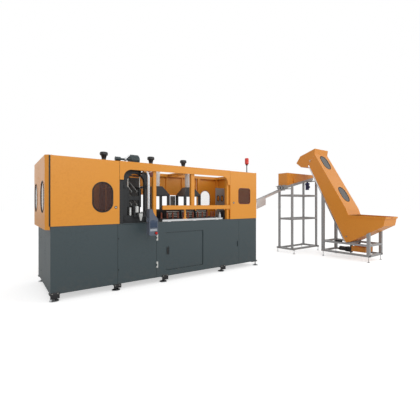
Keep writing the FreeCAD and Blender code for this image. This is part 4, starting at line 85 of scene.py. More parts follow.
# %% [markdown]
# The light is plain and soft. The world lights the object evenly, and two large lamps give the
# front a little more than the ends. Camera, glossy and transmission rays see the world as pure
# white, so the backdrop is white while the object isn't lit any harder.

# %% World and lamps
SKY_LEVEL = 0.55


def joined(links, *pairs):
    for source, target in pairs:
        links.new(source, target)


world = bpy.data.worlds.new("studio")
bpy.context.scene.world = world
world.use_nodes = True
nodes, links = world.node_tree.nodes, world.node_tree.links
nodes.clear()
out = nodes.new("ShaderNodeOutputWorld")
sky, backdrop = nodes.new("ShaderNodeBackground"), nodes.new("ShaderNodeBackground")
sky.inputs["Strength"].default_value = SKY_LEVEL
sky.inputs["Color"].default_value = (1, 1, 1, 1)
backdrop.inputs["Strength"].default_value = 1.0
backdrop.inputs["Color"].default_value = (1, 1, 1, 1)
path = nodes.new("ShaderNodeLightPath")
seen, seen_all = nodes.new("ShaderNodeMath"), nodes.new("ShaderNodeMath")
seen.operation = seen_all.operation = "MAXIMUM"
blend = nodes.new("ShaderNodeMixShader")
joined(links, (path.outputs["Is Camera Ray"], seen.inputs[0]),
       (path.outputs["Is Glossy Ray"], seen.inputs[1]),
       (seen.outputs[0], seen_all.inputs[0]),
       (path.outputs["Is Transmission Ray"], seen_all.inputs[1]),
       (seen_all.outputs[0], blend.inputs[0]), (sky.outputs[0], blend.inputs[1]),
       (backdrop.outputs[0], blend.inputs[2]), (blend.outputs[0], out.inputs["Surface"]))


def soft_lamp(name, place, target, size, power):
    lamp = bpy.data.lights.new(name, "AREA")
    lamp.shape = "SQUARE"
    lamp.size = size
    lamp.energy = power
    holder = bpy.data.objects.new(name, lamp)
    holder.location = place
    holder.rotation_euler = (target - place).to_track_quat("-Z", "Y").to_euler()
    bpy.context.scene.collection.objects.link(holder)


soft_lamp("front_lamp", spot(0.5, -7.5, 5.5), spot(2.5, 0.5, 1.0), size=6.0, power=170.0)
soft_lamp("right_lamp", spot(8.5, -6.5, 5.0), spot(5.5, 0.0, 1.2), size=5.0, power=150.0)

# %% [markdown]
# The floor is one large pale sheet. It reflects light softly, and for camera rays a glow is
# added, so that it meets the white backdrop without an edge and still holds the shadow.

# %% Floor
FLOOR_HALF = 60.0
FLOOR_GLOW = 0.56
FLOOR_GREY = 0.86
FLOOR_DROP = 0.0005
floor_bm = bmesh.new()
bmesh.ops.create_grid(floor_bm, x_segments=1, y_segments=1, size=FLOOR_HALF)
bmesh.ops.translate(floor_bm, vec=(0, 0, -FLOOR_DROP), verts=floor_bm.verts)
floor_mesh = bpy.data.meshes.new("floor")
floor_bm.to_mesh(floor_mesh)
floor_bm.free()
floor = bpy.data.objects.new("floor", floor_mesh)
bpy.context.scene.collection.objects.link(floor)
floor_paint = bpy.data.materials.new("floor_paint")
floor_paint.use_nodes = True
nodes, links = floor_paint.node_tree.nodes, floor_paint.node_tree.links
nodes.clear()
out = nodes.new("ShaderNodeOutputMaterial")
matt, glow, both = (nodes.new("ShaderNodeBsdfDiffuse"), nodes.new("ShaderNodeEmission"),
                    nodes.new("ShaderNodeAddShader"))
matt.inputs["Color"].default_value = (FLOOR_GREY, FLOOR_GREY, FLOOR_GREY, 1)
path, level = nodes.new("ShaderNodeLightPath"), nodes.new("ShaderNodeMath")
level.operation = "MULTIPLY"
level.inputs[1].default_value = FLOOR_GLOW
joined(links, (path.outputs["Is Camera Ray"], level.inputs[0]), (level.outputs[0], glow.inputs["Strength"]),
       (matt.outputs[0], both.inputs[0]), (glow.outputs[0], both.inputs[1]),
       (both.outputs[0], out.inputs["Surface"]))
floor_mesh.materials.append(floor_paint)
print("floor", FLOOR_HALF * 2, "m")

# %% [markdown]
# ## Shared effects
# Several finishes use the same small effects, so each is a node group that is built once:
# a slow mottle that keeps large sheets from looking printed, dust on faces that look up,
# grime that fades with height, the fine skin of powder coating and the lines of brushed metal.
# A group gives out colours, masks and heights only. The shader stays in each material.

# %% Group maker
def effect_group(name, inputs, outputs):
    tree = bpy.data.node_groups.new(name, "ShaderNodeTree")
    for label, kind, value in inputs:
        socket = tree.interface.new_socket(name=label, in_out="INPUT", socket_type=kind)
        socket.default_value = value
    for label, kind in outputs:
        tree.interface.new_socket(name=label, in_out="OUTPUT", socket_type=kind)
    return tree, tree.nodes.new("NodeGroupInput"), tree.nodes.new("NodeGroupOutput")


def noise(tree, scale, detail, vector=None):
    node = tree.nodes.new("ShaderNodeTexNoise")
    node.inputs["Scale"].default_value = scale
    node.inputs["Detail"].default_value = detail
    if vector is None:
        vector = tree.nodes.new("ShaderNodeTexCoord").outputs["Object"]
    tree.links.new(vector, node.inputs["Vector"])
    return node


def ramp(tree, source, low, high, to_low=0.0, to_high=1.0):
    node = tree.nodes.new("ShaderNodeMapRange")
    node.interpolation_type = "SMOOTHSTEP"
    for label, value in (("From Min", low), ("From Max", high), ("To Min", to_low), ("To Max", to_high)):
        node.inputs[label].default_value = value
    tree.links.new(source, node.inputs["Value"])
    return node.outputs["Result"]


def times(tree, a, b):
    node = tree.nodes.new("ShaderNodeMath")
    node.operation = "MULTIPLY"
    tree.links.new(a, node.inputs[0])
    tree.links.new(b, node.inputs[1])
    return node.outputs[0]


def tinted(tree, mask, base, other):
    node = tree.nodes.new("ShaderNodeMix")
    node.data_type = "RGBA"
    tree.links.new(mask, node.inputs[0])
    tree.links.new(base, node.inputs[6])
    tree.links.new(other, node.inputs[7])
    return node.outputs[2]


# %% Mottle, dust, grime
COLOUR, NUMBER = "NodeSocketColor", "NodeSocketFloat"
COLOUR_AND_MASK = [("Color", COLOUR), ("Mask", NUMBER)]
PLAIN = ("Color", COLOUR, (1, 1, 1, 1))

MOTTLE, gin, gout = effect_group(
    "mottle", [PLAIN, ("Shade", COLOUR, (0, 0, 0, 1)), ("Amount", NUMBER, 0.1)], COLOUR_AND_MASK)
slow = ramp(MOTTLE, noise(MOTTLE, 1.7, 4.0).outputs["Fac"], 0.35, 0.7)
fine = ramp(MOTTLE, noise(MOTTLE, 38.0, 3.0).outputs["Fac"], 0.4, 0.75)
mixed = times(MOTTLE, slow, fine)
patch = times(MOTTLE, mixed, gin.outputs["Amount"])
joined(MOTTLE.links,
       (tinted(MOTTLE, patch, gin.outputs["Color"], gin.outputs["Shade"]), gout.inputs["Color"]),
       (mixed, gout.inputs["Mask"]))

DUST, gin, gout = effect_group(
    "shop_dust", [PLAIN, ("Dust", COLOUR, (0.52, 0.5, 0.47, 1)), ("Amount", NUMBER, 0.3)], COLOUR_AND_MASK)
upright = DUST.nodes.new("ShaderNodeSeparateXYZ")
DUST.links.new(DUST.nodes.new("ShaderNodeNewGeometry").outputs["Normal"], upright.inputs[0])
lying = times(DUST, ramp(DUST, upright.outputs["Z"], 0.55, 1.0),
              ramp(DUST, noise(DUST, 9.0, 5.0).outputs["Fac"], 0.3, 0.75))
lying = times(DUST, lying, gin.outputs["Amount"])
joined(DUST.links,
       (tinted(DUST, lying, gin.outputs["Color"], gin.outputs["Dust"]), gout.inputs["Color"]),
       (lying, gout.inputs["Mask"]))

GRIME, gin, gout = effect_group(
    "floor_grime", [PLAIN, ("Grime", COLOUR, (0.12, 0.11, 0.1, 1)), ("Amount", NUMBER, 0.4)], COLOUR_AND_MASK)
height = GRIME.nodes.new("ShaderNodeSeparateXYZ")
GRIME.links.new(GRIME.nodes.new("ShaderNodeTexCoord").outputs["Object"], height.inputs[0])
low_down = times(GRIME, ramp(GRIME, height.outputs["Z"], 0.42, 0.02),
                 ramp(GRIME, noise(GRIME, 14.0, 6.0).outputs["Fac"], 0.35, 0.8))
low_down = times(GRIME, low_down, gin.outputs["Amount"])
joined(GRIME.links,
       (tinted(GRIME, low_down, gin.outputs["Color"], gin.outputs["Grime"]), gout.inputs["Color"]),
       (low_down, gout.inputs["Mask"]))
print("groups", MOTTLE.name, DUST.name, GRIME.name)

# %% [markdown]
# Two groups give heights for a bump. Powder coating has a fine orange peel of a millimetre or
# two. Brushed metal has lines that are long one way and very narrow the other, so its noise is
# stretched by a Mapping node inside the group.

# %% Peel and brushed lines
PEEL, gin, gout = effect_group("orange_peel", [("Strength", NUMBER, 1.0)], [("Height", NUMBER)])
PEEL.links.new(times(PEEL, noise(PEEL, 620.0, 2.0).outputs["Fac"], gin.outputs["Strength"]),
               gout.inputs["Height"])


def brushed_group(name, stretch):
    tree, gin, gout = effect_group(name, [("Strength", NUMBER, 1.0)], [("Height", NUMBER), ("Mask", NUMBER)])
    squeeze = tree.nodes.new("ShaderNodeMapping")
    squeeze.inputs["Scale"].default_value = stretch
    tree.links.new(tree.nodes.new("ShaderNodeTexCoord").outputs["Object"], squeeze.inputs["Vector"])
    lines = noise(tree, 1.0, 4.0, squeeze.outputs["Vector"]).outputs["Fac"]
    tree.links.new(times(tree, lines, gin.outputs["Strength"]), gout.inputs["Height"])
    tree.links.new(ramp(tree, lines, 0.3, 0.7), gout.inputs["Mask"])
    return tree


BRUSHED_X = brushed_group("brushed_along_x", (6.0, 900.0, 900.0))
BRUSHED_Z = brushed_group("brushed_along_z", (900.0, 900.0, 6.0))
print("groups", PEEL.name, BRUSHED_X.name, BRUSHED_Z.name)

# %% [markdown]
# ## Finishes
# Colours are written as they look on a screen, from 0 to 255, and turned into the linear values
# that the shader wants. Each finish starts as a bare Principled shader. What is the same all
# over the surface is set on the shader itself, and what varies comes through the groups.

# %% Material starter
def screen(red, green, blue):
    def linear(value):
        value /= 255.0
        return value / 12.92 if value <= 0.04045 else ((value + 0.055) / 1.055) ** 2.4
    return (linear(red), linear(green), linear(blue), 1.0)


def bare(name, **settings):
    material = bpy.data.materials.new(name)
    material.use_nodes = True
    shader = material.node_tree.nodes["Principled BSDF"]
    for label, value in settings.items():
        shader.inputs[label.replace("_", " ")].default_value = value
    return material, material.node_tree, shader


def effect(tree, group, **values):
    node = tree.nodes.new("ShaderNodeGroup")
    node.node_tree = group
    for label, value in values.items():
        node.inputs[label].default_value = value
    return node


def bumped(tree, shader, height, distance, strength=0.4):
    bump = tree.nodes.new("ShaderNodeBump")
    bump.inputs["Distance"].default_value = distance
    bump.inputs["Strength"].default_value = strength
    tree.links.new(height, bump.inputs["Height"])
    tree.links.new(bump.outputs["Normal"], shader.inputs["Normal"])


# %% Paints
def paint(name, colour, shade, roughness=0.42, mottle=0.5, dust=0.25, grime=0.0, peel=0.00012):
    material, tree, shader = bare(name, IOR=1.5)
    worn = effect(tree, MOTTLE, Color=colour, Shade=shade, Amount=mottle)
    dusty = effect(tree, DUST, Amount=dust)
    tree.links.new(worn.outputs["Color"], dusty.inputs["Color"])
    result = dusty
    if grime:
        result = effect(tree, GRIME, Amount=grime)
        tree.links.new(dusty.outputs["Color"], result.inputs["Color"])
    tree.links.new(result.outputs["Color"], shader.inputs["Base Color"])
    tree.links.new(ramp(tree, worn.outputs["Mask"], 0.0, 1.0, roughness - 0.05, roughness + 0.1),
                   shader.inputs["Roughness"])
    skin = effect(tree, PEEL)
    bumped(tree, shader, skin.outputs["Height"], peel)
    return material


ORANGE = paint("orange_powder_coat", screen(236, 156, 50), screen(224, 141, 42), 0.4)
FEEDER_ORANGE = paint("feeder_orange", screen(232, 150, 54), screen(216, 133, 45), 0.42, grime=0.2)
BASE_GREY = paint("base_grey_powder_coat", screen(64, 77, 81), screen(57, 69, 73), 0.45, grime=0.35)
STAND_GREY = paint("stand_grey_paint", screen(164, 165, 166), screen(140, 141, 142), 0.4, grime=0.5)
INNER_GREY = paint("inner_grey_paint", screen(104, 103, 100), screen(88, 87, 84), 0.5)
BLACK = paint("semi_gloss_black", screen(38, 38, 40), screen(30, 30, 32), 0.38, dust=0.4)
WHITE = paint("white_enamel", screen(222, 222, 218), screen(200, 200, 196), 0.35)
MOTOR_BLUE = paint("motor_blue", screen(42, 47, 98), screen(30, 34, 76), 0.35)
print("paints ready")

# %% Castings
def casting(name, colour, shade):
    material, tree, shader = bare(name, IOR=1.5, Specular_IOR_Level=0.4)
    worn = effect(tree, MOTTLE, Color=colour, Shade=shade, Amount=0.8)
    dusty = effect(tree, DUST, Amount=0.3)
    joined(tree.links, (worn.outputs["Color"], dusty.inputs["Color"]),
           (dusty.outputs["Color"], shader.inputs["Base Color"]),
           (ramp(tree, worn.outputs["Mask"], 0.0, 1.0, 0.45, 0.65), shader.inputs["Roughness"]))
    bumped(tree, shader, noise(tree, 160.0, 5.0).outputs["Fac"], 0.0009, 0.6)
    return material


CAST_BLACK = casting("painted_casting", screen(44, 46, 48), screen(28, 29, 31))
MOULD_DARK = casting("oiled_mould_plate", screen(62, 61, 60), screen(40, 40, 41))
LINK_GREY = casting("link_casting", screen(120, 120, 118), screen(88, 88, 87))

# %% [markdown]
# Metals are metallic all over, so that value is set on the shader. What makes them look real is
# a roughness that changes along fine lines, and a faint bump in the same direction.

# %% Metals
def brushed(name, colour, shade, group, low=0.22, high=0.4):
    material, tree, shader = bare(name, Metallic=1.0)
    lines = effect(tree, group)
    worn = effect(tree, MOTTLE, Color=colour, Shade=shade, Amount=0.6)
    joined(tree.links, (worn.outputs["Color"], shader.inputs["Base Color"]),
           (ramp(tree, lines.outputs["Mask"], 0.0, 1.0, low, high), shader.inputs["Roughness"]))
    bumped(tree, shader, lines.outputs["Height"], 0.00006, 0.5)
    return material


STEEL = brushed("machined_steel", screen(190, 192, 194), screen(150, 151, 152), BRUSHED_X)
STEEL_UPRIGHT = brushed("machined_steel_upright", screen(196, 198, 200), screen(160, 161, 162), BRUSHED_Z)
ALUMINIUM = brushed("anodised_aluminium", screen(214, 215, 216), screen(196, 197, 198), BRUSHED_X, 0.3, 0.45)
TUBE_METAL = brushed("satin_tube", screen(204, 206, 208), screen(176, 178, 180), BRUSHED_Z, 0.2, 0.34)
BRIGHT = brushed("zinc_plated", screen(206, 204, 198), screen(172, 170, 160), BRUSHED_X, 0.16, 0.3)
print("metals ready")

# %% [markdown]
# Plastic and rubber aren't metallic and have a broad, dull gloss. Glass gets
# an alpha below 1 instead of a solid surface: the panes let the inside show, a little darkened.

# %% Plastics, rubber and glass
def moulded(name, colour, shade, roughness=0.45, grain=240.0, depth=0.00025):
    material, tree, shader = bare(name, IOR=1.46)
    worn = effect(tree, MOTTLE, Color=colour, Shade=shade, Amount=0.5)
    joined(tree.links, (worn.outputs["Color"], shader.inputs["Base Color"]),
           (ramp(tree, worn.outputs["Mask"], 0.0, 1.0, roughness - 0.06, roughness + 0.12),
            shader.inputs["Roughness"]))
    bumped(tree, shader, noise(tree, grain, 3.0).outputs["Fac"], depth)
    return material


def glazing(name, colour, alpha, roughness=0.03, ior=1.45):
    material, tree, shader = bare(name, Base_Color=colour, Alpha=alpha, IOR=ior)
    film = ramp(tree, noise(tree, 6.0, 4.0).outputs["Fac"], 0.35, 0.8, roughness, roughness + 0.08)
    tree.links.new(film, shader.inputs["Roughness"])
    return material


BLACK_PLASTIC = moulded("black_plastic", screen(34, 34, 36), screen(24, 24, 26), 0.42)
GREY_PLASTIC = moulded("pendant_plastic", screen(96, 104, 118), screen(78, 86, 100), 0.4)
PALE_PLASTIC = moulded("pale_plastic", screen(196, 202, 208), screen(176, 182, 190), 0.35)
DUCT_WHITE = moulded("duct_white", screen(250, 249, 247), screen(236, 234, 230), 0.5, 90.0, 0.0004)
RUBBER = moulded("black_rubber", screen(30, 30, 30), screen(20, 20, 20), 0.6, 420.0, 0.0002)
# This brown also paints shade: it colours the box at the pendant arm's bend, where the orange shows dark in
# shade.
BROWN_RUBBER_AND_SHADE = moulded("brown_rubber_and_painted_shade", screen(104, 46, 36), screen(80, 34, 28), 0.5, 420.0, 0.0002)
BELT = moulded("belt_green", screen(52, 92, 84), screen(38, 70, 64), 0.5, 300.0, 0.0003)
RED_PLASTIC = moulded("red_plastic", screen(196, 34, 24), screen(160, 24, 18), 0.25, 60.0, 0.00005)
COPPER_RED = moulded("carrier_copper", screen(150, 78, 52), screen(112, 52, 36), 0.35, 120.0, 0.0001)
DOOR_GLASS = glazing("door_glass", screen(84, 52, 44), 0.5)
RED_LENS = glazing("red_lens", (0.85, 0.05, 0.035, 1.0), 0.94, 0.2)
QUARTZ = glazing("quartz_tube", (0.95, 0.9, 0.82, 1.0), 0.6, 0.05)
SCREEN_GLASS = glazing("pendant_screen", screen(58, 74, 98), 0.97, 0.08)
BOWL = glazing("filter_bowl", screen(232, 234, 232), 0.9, 0.1, 1.5)
TEAL = moulded("teal_plastic", screen(44, 122, 118), screen(34, 102, 98), 0.4)


def along_machine(tree, low, high):
    """A mask that goes from 0 to 1 between two places along the machine."""
    place = tree.nodes.new("ShaderNodeSeparateXYZ")
    tree.links.new(tree.nodes.new("ShaderNodeTexCoord").outputs["Object"], place.inputs[0])
    return ramp(tree, place.outputs["X"], CORNER.x + low, CORNER.x + high)


def window_glass():
    """Hazy panes in the left end, clear at the rear, smoky in the elevator."""
    material, tree, shader = bare("window_glass", IOR=1.45, Roughness=0.06)
    hazy, clear, smoky = (tree.nodes.new("ShaderNodeRGB") for _ in range(3))
    for node, colour in ((hazy, (178, 160, 150)), (clear, (244, 246, 246)), (smoky, (96, 94, 90))):
        node.outputs[0].default_value = screen(*colour)
    past_end, past_body = along_machine(tree, 0.5, 1.5), along_machine(tree, 4.5, 5.5)
    first = tinted(tree, past_end, hazy.outputs[0], clear.outputs[0])
    joined(tree.links, (tinted(tree, past_body, first, smoky.outputs[0]), shader.inputs["Base Color"]))
    opacity = tree.nodes.new("ShaderNodeMath")
    opacity.operation = "ADD"
    joined(tree.links, (ramp(tree, past_end, 0.0, 1.0, 0.8, 0.12), opacity.inputs[0]),
           (ramp(tree, past_body, 0.0, 1.0, 0.0, 0.72), opacity.inputs[1]),
           (opacity.outputs[0], shader.inputs["Alpha"]))
    return material


WINDOW = window_glass()
print("plastics and glass ready")

# %% [markdown]
# ## Dressing the CAD nodes
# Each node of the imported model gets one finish. Its shape isn't touched. The same list holds
# the whole machine, so a finish can be changed in one place.

# %% Finish of every node
DRESS = {
    INNER_GREY: ("base_frame",),
    STAND_GREY: ("sorter_stand", "elevator_frame", "infeed_plate"),
    BASE_GREY: ("base_panels", "base_door", "service_door", "roof_blower", "table_plate"),
    ORANGE: ("upper_frame", "left_end_cover", "front_left_door", "front_right_door", "header_panel",
             "right_end_panel", "rear_panels", "guard_frame"),
    FEEDER_ORANGE: ("sorter_trough", "elevator_casing", "elevator_hood", "hopper"),
    BLACK: ("roof_caps", "oven_hoods", "lamp_banks", "elevator_gearmotor"),
    WHITE: ("base_door_hinges",),
    MOTOR_BLUE: ("sorter_motor",),
    CAST_BLACK: ("clamp_yokes", "crosshead", "preform_track", "clamp_pneumatics"),
    MOULD_DARK: ("front_mould_platen", "rear_mould_platen"),
    LINK_GREY: ("upper_links", "lower_links"),
    STEEL: ("tie_bars", "front_sorter_roller", "rear_sorter_roller", "head_drum",
            "tail_drum", "left_door_lock", "right_door_lock"),
    STEEL_UPRIGHT: ("stretch_unit", "stretch_carriage", "levelling_feet"),
    ALUMINIUM: ("guide_rail", "chute"),
    TUBE_METAL: ("pendant_arm",),
    BLACK_PLASTIC: ("latch_lever", "beacon_pole"),
    GREY_PLASTIC: ("control_pendant",),
    RED_PLASTIC: ("stop_button",),
    DUCT_WHITE: ("exhaust_ducts",),
    BELT: ("cleated_belt",),
    DOOR_GLASS: ("left_door_pane", "right_door_pane"),
    WINDOW: ("window_panes",),
    RED_LENS: ("beacon_lens",),
    QUARTZ: ("heater_lamps",),
    COPPER_RED: ("preform_carriers",),
}
dressed = set()
for finish, names in DRESS.items():
    for name in names:
        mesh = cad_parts[name].data
        mesh.materials.clear()
        mesh.materials.append(finish)
        dressed.add(name)
print("undressed nodes", sorted(set(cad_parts) - dressed))

# %% [markdown]
# ## Tools for the small parts
# Every new piece ends the same way: its bmesh becomes a mesh at the origin, gets its finish and
# its material slot, and rides on the CAD body that carries it. Rounded pieces are shaded
# smooth, with edges kept sharp above a set angle.

# %% Finishing a piece
SHARP = math.radians(38)


def piece(name, bm, body, finish):
    bmesh.ops.recalc_face_normals(bm, faces=bm.faces)
    mesh = bpy.data.meshes.new(name)
    bm.to_mesh(mesh)
    bm.free()
    mesh.shade_smooth()
    mesh.set_sharp_from_angle(angle=SHARP)
    mesh.materials.append(finish)
    made = bpy.data.objects.new(name, mesh)
    bpy.context.scene.collection.objects.link(made)
    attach(made, body)
    print(name, len(mesh.polygons), "faces on", body)


# %% Blocks and rods
def softened(bm, verts, round_by, steps):
    """Rounds every edge of a new box."""
    edges = list({e for v in verts for e in v.link_edges})
    bmesh.ops.bevel(bm, geom=edges, offset=round_by, segments=steps, affect="EDGES", profile=0.5,
                    material=-1)


def block(bm, low, high, round_by=0.002, steps=2):
    low, high = Vector(low), Vector(high)
    size = high - low
    seat = Matrix.Translation((low + high) / 2) @ Matrix.Diagonal((*size, 1.0))
    softened(bm, bmesh.ops.create_cube(bm, size=1.0, matrix=seat)["verts"], round_by, steps)


def rod(bm, start, end, radius, tip=None, sides=24):
    along = end - start
    seat = Matrix.Translation((start + end) / 2) @ along.to_track_quat("Z", "Y").to_matrix().to_4x4()
    return bmesh.ops.create_cone(bm, cap_ends=True, segments=sides, radius1=radius,
                                 radius2=radius if tip is None else tip, depth=along.length,
                                 matrix=seat)["verts"]


def turned(bm, profile, centre, axis=UP, sides=32):
    """A few points (radius, height) spun round an axis."""
    turn = axis.to_track_quat("Z", "Y").to_matrix()
    points = [bm.verts.new(centre + turn @ Vector((radius, 0, height))) for radius, height in profile]
    edges = [bm.edges.new(pair) for pair in zip(points, points[1:])]
    bmesh.ops.spin(bm, geom=points + edges, cent=centre, axis=axis, angle=math.tau, steps=sides,
                   use_merge=True, dvec=(0, 0, 0))
    bmesh.ops.remove_doubles(bm, verts=bm.verts, dist=0.00001)


# %% [markdown]
# A window seal is a rubber section that follows a rounded opening. A circle of points is pulled
# apart into four quarters, which makes any rounded rectangle or stadium. That loop is extruded
# from corner to corner of the rubber's section, so each point keeps its own neighbour. Bridging
# separate loops could pair them across the opening, which would cover the window.

# %% Rings of a set section
def facing(centre, across, up):
    """Seat whose Z looks out of the face, with X across it and Y up it."""
    out_of = across.cross(up)
    seat = Matrix((across, up, out_of)).transposed().to_4x4()
    return Matrix.Translation(centre) @ seat


def section_ring(bm, seat, half_wide, half_tall, radius, section, sides):
    """A closed section led round a rounded opening."""
    aside = Vector((half_wide - radius, half_tall - radius, 0))

    def quarter(v):
        return Vector((math.copysign(aside.x, v.co.x), math.copysign(aside.y, v.co.y), 0))

    start = Matrix.Rotation(math.pi / sides, 4, "Z")
    verts = bmesh.ops.create_circle(bm, cap_ends=False, segments=sides, radius=radius,
                                    matrix=start)["verts"]
    edges = list({e for v in verts for e in v.link_edges})
    for v in verts:
        grown = v.co.xy.normalized() * (radius + section[0][0])
        v.co = quarter(v) + Vector((*grown, section[0][1]))
    ring = list(verts)
    for grow, lift in section[1:] + section[:1]:
        made = bmesh.ops.extrude_edge_only(bm, edges=edges)["geom"]
        verts = [g for g in made if isinstance(g, bmesh.types.BMVert)]
        edges = [g for g in made if isinstance(g, bmesh.types.BMEdge)]
        for v in verts:
            away = quarter(v)
            grown = (v.co - away).xy.normalized() * (radius + grow)
            v.co = away + Vector((*grown, lift))
        ring += verts
    bmesh.ops.transform(bm, matrix=seat, verts=ring)
    bmesh.ops.remove_doubles(bm, verts=bm.verts, dist=0.00001)


# %% [markdown]
# ## Window seals
# Each window is held by a black rubber profile pressed over the sheet's edge. It stands a few
# millimetres proud and hides the cut edge of the sheet. The right door's seal is brown.

# %% Seals
SEAL = [(-0.007, -0.0028), (-0.008, 0.002), (-0.004, 0.0052), (0.005, 0.0052), (0.010, 0.002),
        (0.010, 0.0002), (-0.0005, 0.0002), (-0.0005, -0.0028)]
SEAL_SIDES = 64
WINDOW_LOW, WINDOW_HIGH = 1.216, 1.656
WINDOW_MIDDLE, WINDOW_HALF = (WINDOW_LOW + WINDOW_HIGH) / 2, (WINDOW_HIGH - WINDOW_LOW) / 2
RIGHT_LOW, RIGHT_HIGH = 1.34, 1.651
RIGHT_HALF_WIDE, RIGHT_CORNER = 0.159, 0.05
NARROW_HALF, WIDE_HALF = 0.144, 0.1735
BODY_LENGTH, END_FACE, REAR_FACE = 3.93, -0.054, 1.395


def stadium_seal(bm, centre, across, half_wide):
    """A seal with half round ends, as tall as the left door's window."""
    section_ring(bm, facing(centre, across, UP), half_wide, WINDOW_HALF, half_wide, SEAL, SEAL_SIDES)


bm = bmesh.new()
stadium_seal(bm, spot(0.696, 0, WINDOW_MIDDLE), RIGHT, NARROW_HALF)
piece("left_door_seal", bm, "left_door", RUBBER)

bm = bmesh.new()
section_ring(bm, facing(spot(3.57, 0, (RIGHT_LOW + RIGHT_HIGH) / 2), RIGHT, UP), RIGHT_HALF_WIDE,
             (RIGHT_HIGH - RIGHT_LOW) / 2, RIGHT_CORNER, SEAL, SEAL_SIDES)
piece("right_door_seal", bm, "right_door", BROWN_RUBBER_AND_SHADE)

bm = bmesh.new()
for y in (0.306, 1.12):
    stadium_seal(bm, spot(END_FACE, y, WINDOW_MIDDLE), -BACK, WIDE_HALF)
stadium_seal(bm, spot(3.56, REAR_FACE, WINDOW_MIDDLE), -RIGHT, NARROW_HALF)
piece("fixed_window_seals", bm, "machine", RUBBER)

# %% [markdown]
# The elevator's casing leans, so its two windows are placed along the line of its front face.
# The same seal goes round them.

# %% Elevator seals
FACE_LOW, FACE_HIGH = Vector((0, -0.764, 1.213)), Vector((0, 0.095, 2.664))
ELEVATOR_X, ELEVATOR_WIDE = BODY_LENGTH + 2.27, 0.61
TOP_WINDOW_DROP, WINDOW_PITCH = 0.262, 1.0
SLOT_HALF_WIDE, SLOT_HALF_TALL = 0.15, 0.212
face_up = (FACE_HIGH - FACE_LOW).normalized()
bm = bmesh.new()
for index in (0, 1):
    reach = (FACE_HIGH - FACE_LOW).length - TOP_WINDOW_DROP - index * WINDOW_PITCH
    centre = CORNER + FACE_LOW + face_up * reach + RIGHT * (ELEVATOR_X + ELEVATOR_WIDE / 2)
    section_ring(bm, facing(centre, RIGHT, face_up), SLOT_HALF_WIDE, SLOT_HALF_TALL, SLOT_HALF_WIDE,
                 SEAL, SEAL_SIDES)
piece("elevator_window_seals", bm, "machine", RUBBER)

# %% [markdown]
# ## Screws
# Panels are held by button head screws. One screw is a short frustum with a socket sunk in its
# top. There are many, so each has only a few faces. A list of places and outward directions
# makes a whole set in one mesh.

# %% Screw sets
def screw(bm, place, outward, radius=0.006, tall=0.0035):
    head = rod(bm, place, place + outward * tall, radius, radius * 0.7, 10)
    top = max((f for f in {f for v in head for f in v.link_faces}),
              key=lambda f: f.calc_center_median().dot(outward))
    bmesh.ops.inset_individual(bm, faces=[top], thickness=radius * 0.28, depth=-tall * 0.5)


def screws(name, body, places, radius=0.006, tall=0.0035):
    bm = bmesh.new()
    for place, outward in places:
        screw(bm, place, outward, radius, tall)
    piece(name, bm, body, BRIGHT)


def spread(start, end, count):
    return [start + (end - start) * k / (count - 1) for k in range(count)]


# Each rear panel: its first and last screw along X, and the height of its lower row.
REAR_PANELS = ((0.03, 1.66, 1.06), (1.72, 3.29, 1.56), (3.33, 3.9, 1.06))
REAR_TOP_ROW = 1.96
rows = []
for x0, x1, low_row in REAR_PANELS:
    for z in (REAR_TOP_ROW, low_row):
        rows += [(p, BACK) for p in spread(spot(x0, REAR_FACE, z), spot(x1, REAR_FACE, z), 5)]
screws("rear_panel_screws", "machine", rows)

END_ROWS = (1.03, 1.965)
rows = []
for z in END_ROWS:
    rows += [(p, RIGHT) for p in spread(spot(BODY_LENGTH, 0.06, z), spot(BODY_LENGTH, 1.38, z), 6)]
for z in END_ROWS:
    rows += [(p, -RIGHT) for p in spread(spot(END_FACE, 0.09, z), spot(END_FACE, 1.336, z), 4)]
screws("end_panel_screws", "machine", rows)

rows = [(p, UP) for p in spread(spot(1.0, 0.06, 2.0), spot(3.13, 0.06, 2.0), 8)]
screws("header_screws", "machine", rows)

HINGES = (0.772, 0.319)
rows = []
for z in HINGES:
    rows += [(spot(1.594, 0.005, z + dz), -BACK) for dz in (-0.036, 0.0, 0.036)]
screws("hinge_screws", "machine", rows, 0.004, 0.002)
rows = [(spot(1.554, 0.005, z + dz), -BACK) for z in HINGES for dz in (-0.036, 0.036)]
screws("hinge_leaf_screws", "base_door_leaf", rows, 0.004, 0.002)

# %% [markdown]
# ## Trim of the enclosure
# A dark rubber strip closes the corner beside the left door, four of the front feet have steel
# brackets, and each lock sits in a ring. They are small, but they are what the eye uses to read
# the size of the sheets.

# %% Corner strip, foot brackets, lock rings
TABLE = 1.028


def ring_section(inner, outer, low, high):
    """Points of a closed square section, to be spun into a ring."""
    return [(inner, low), (inner, high), (outer, high), (outer, low), (inner, low)]


bm = bmesh.new()
block(bm, spot(-0.011, -0.004, TABLE + 0.003), spot(0.006, 0.005, 1.992), 0.0015)
piece("corner_strip", bm, "machine", RUBBER)

# The bracket beside the base door is lower than the rest, so that the door clears it.
BRACKET_TOPS = {0.063: 0.13, 0.917: 0.1, 1.732: 0.13, 3.007: 0.13}
BRACKET_HALF, BRACKET_LOW, BRACKET_FRONT = 0.0575, 0.045, -0.001
bm = bmesh.new()
rows = []
for x, top in BRACKET_TOPS.items():
    block(bm, spot(x - BRACKET_HALF, BRACKET_FRONT, BRACKET_LOW), spot(x + BRACKET_HALF, 0.008, top), 0.002)
    rows += [(spot(x + dx, BRACKET_FRONT, top - 0.015), -BACK) for dx in (-0.035, 0.035)]
piece("foot_brackets", bm, "machine", BLACK)
screws("foot_bracket_screws", "machine", rows, 0.007)

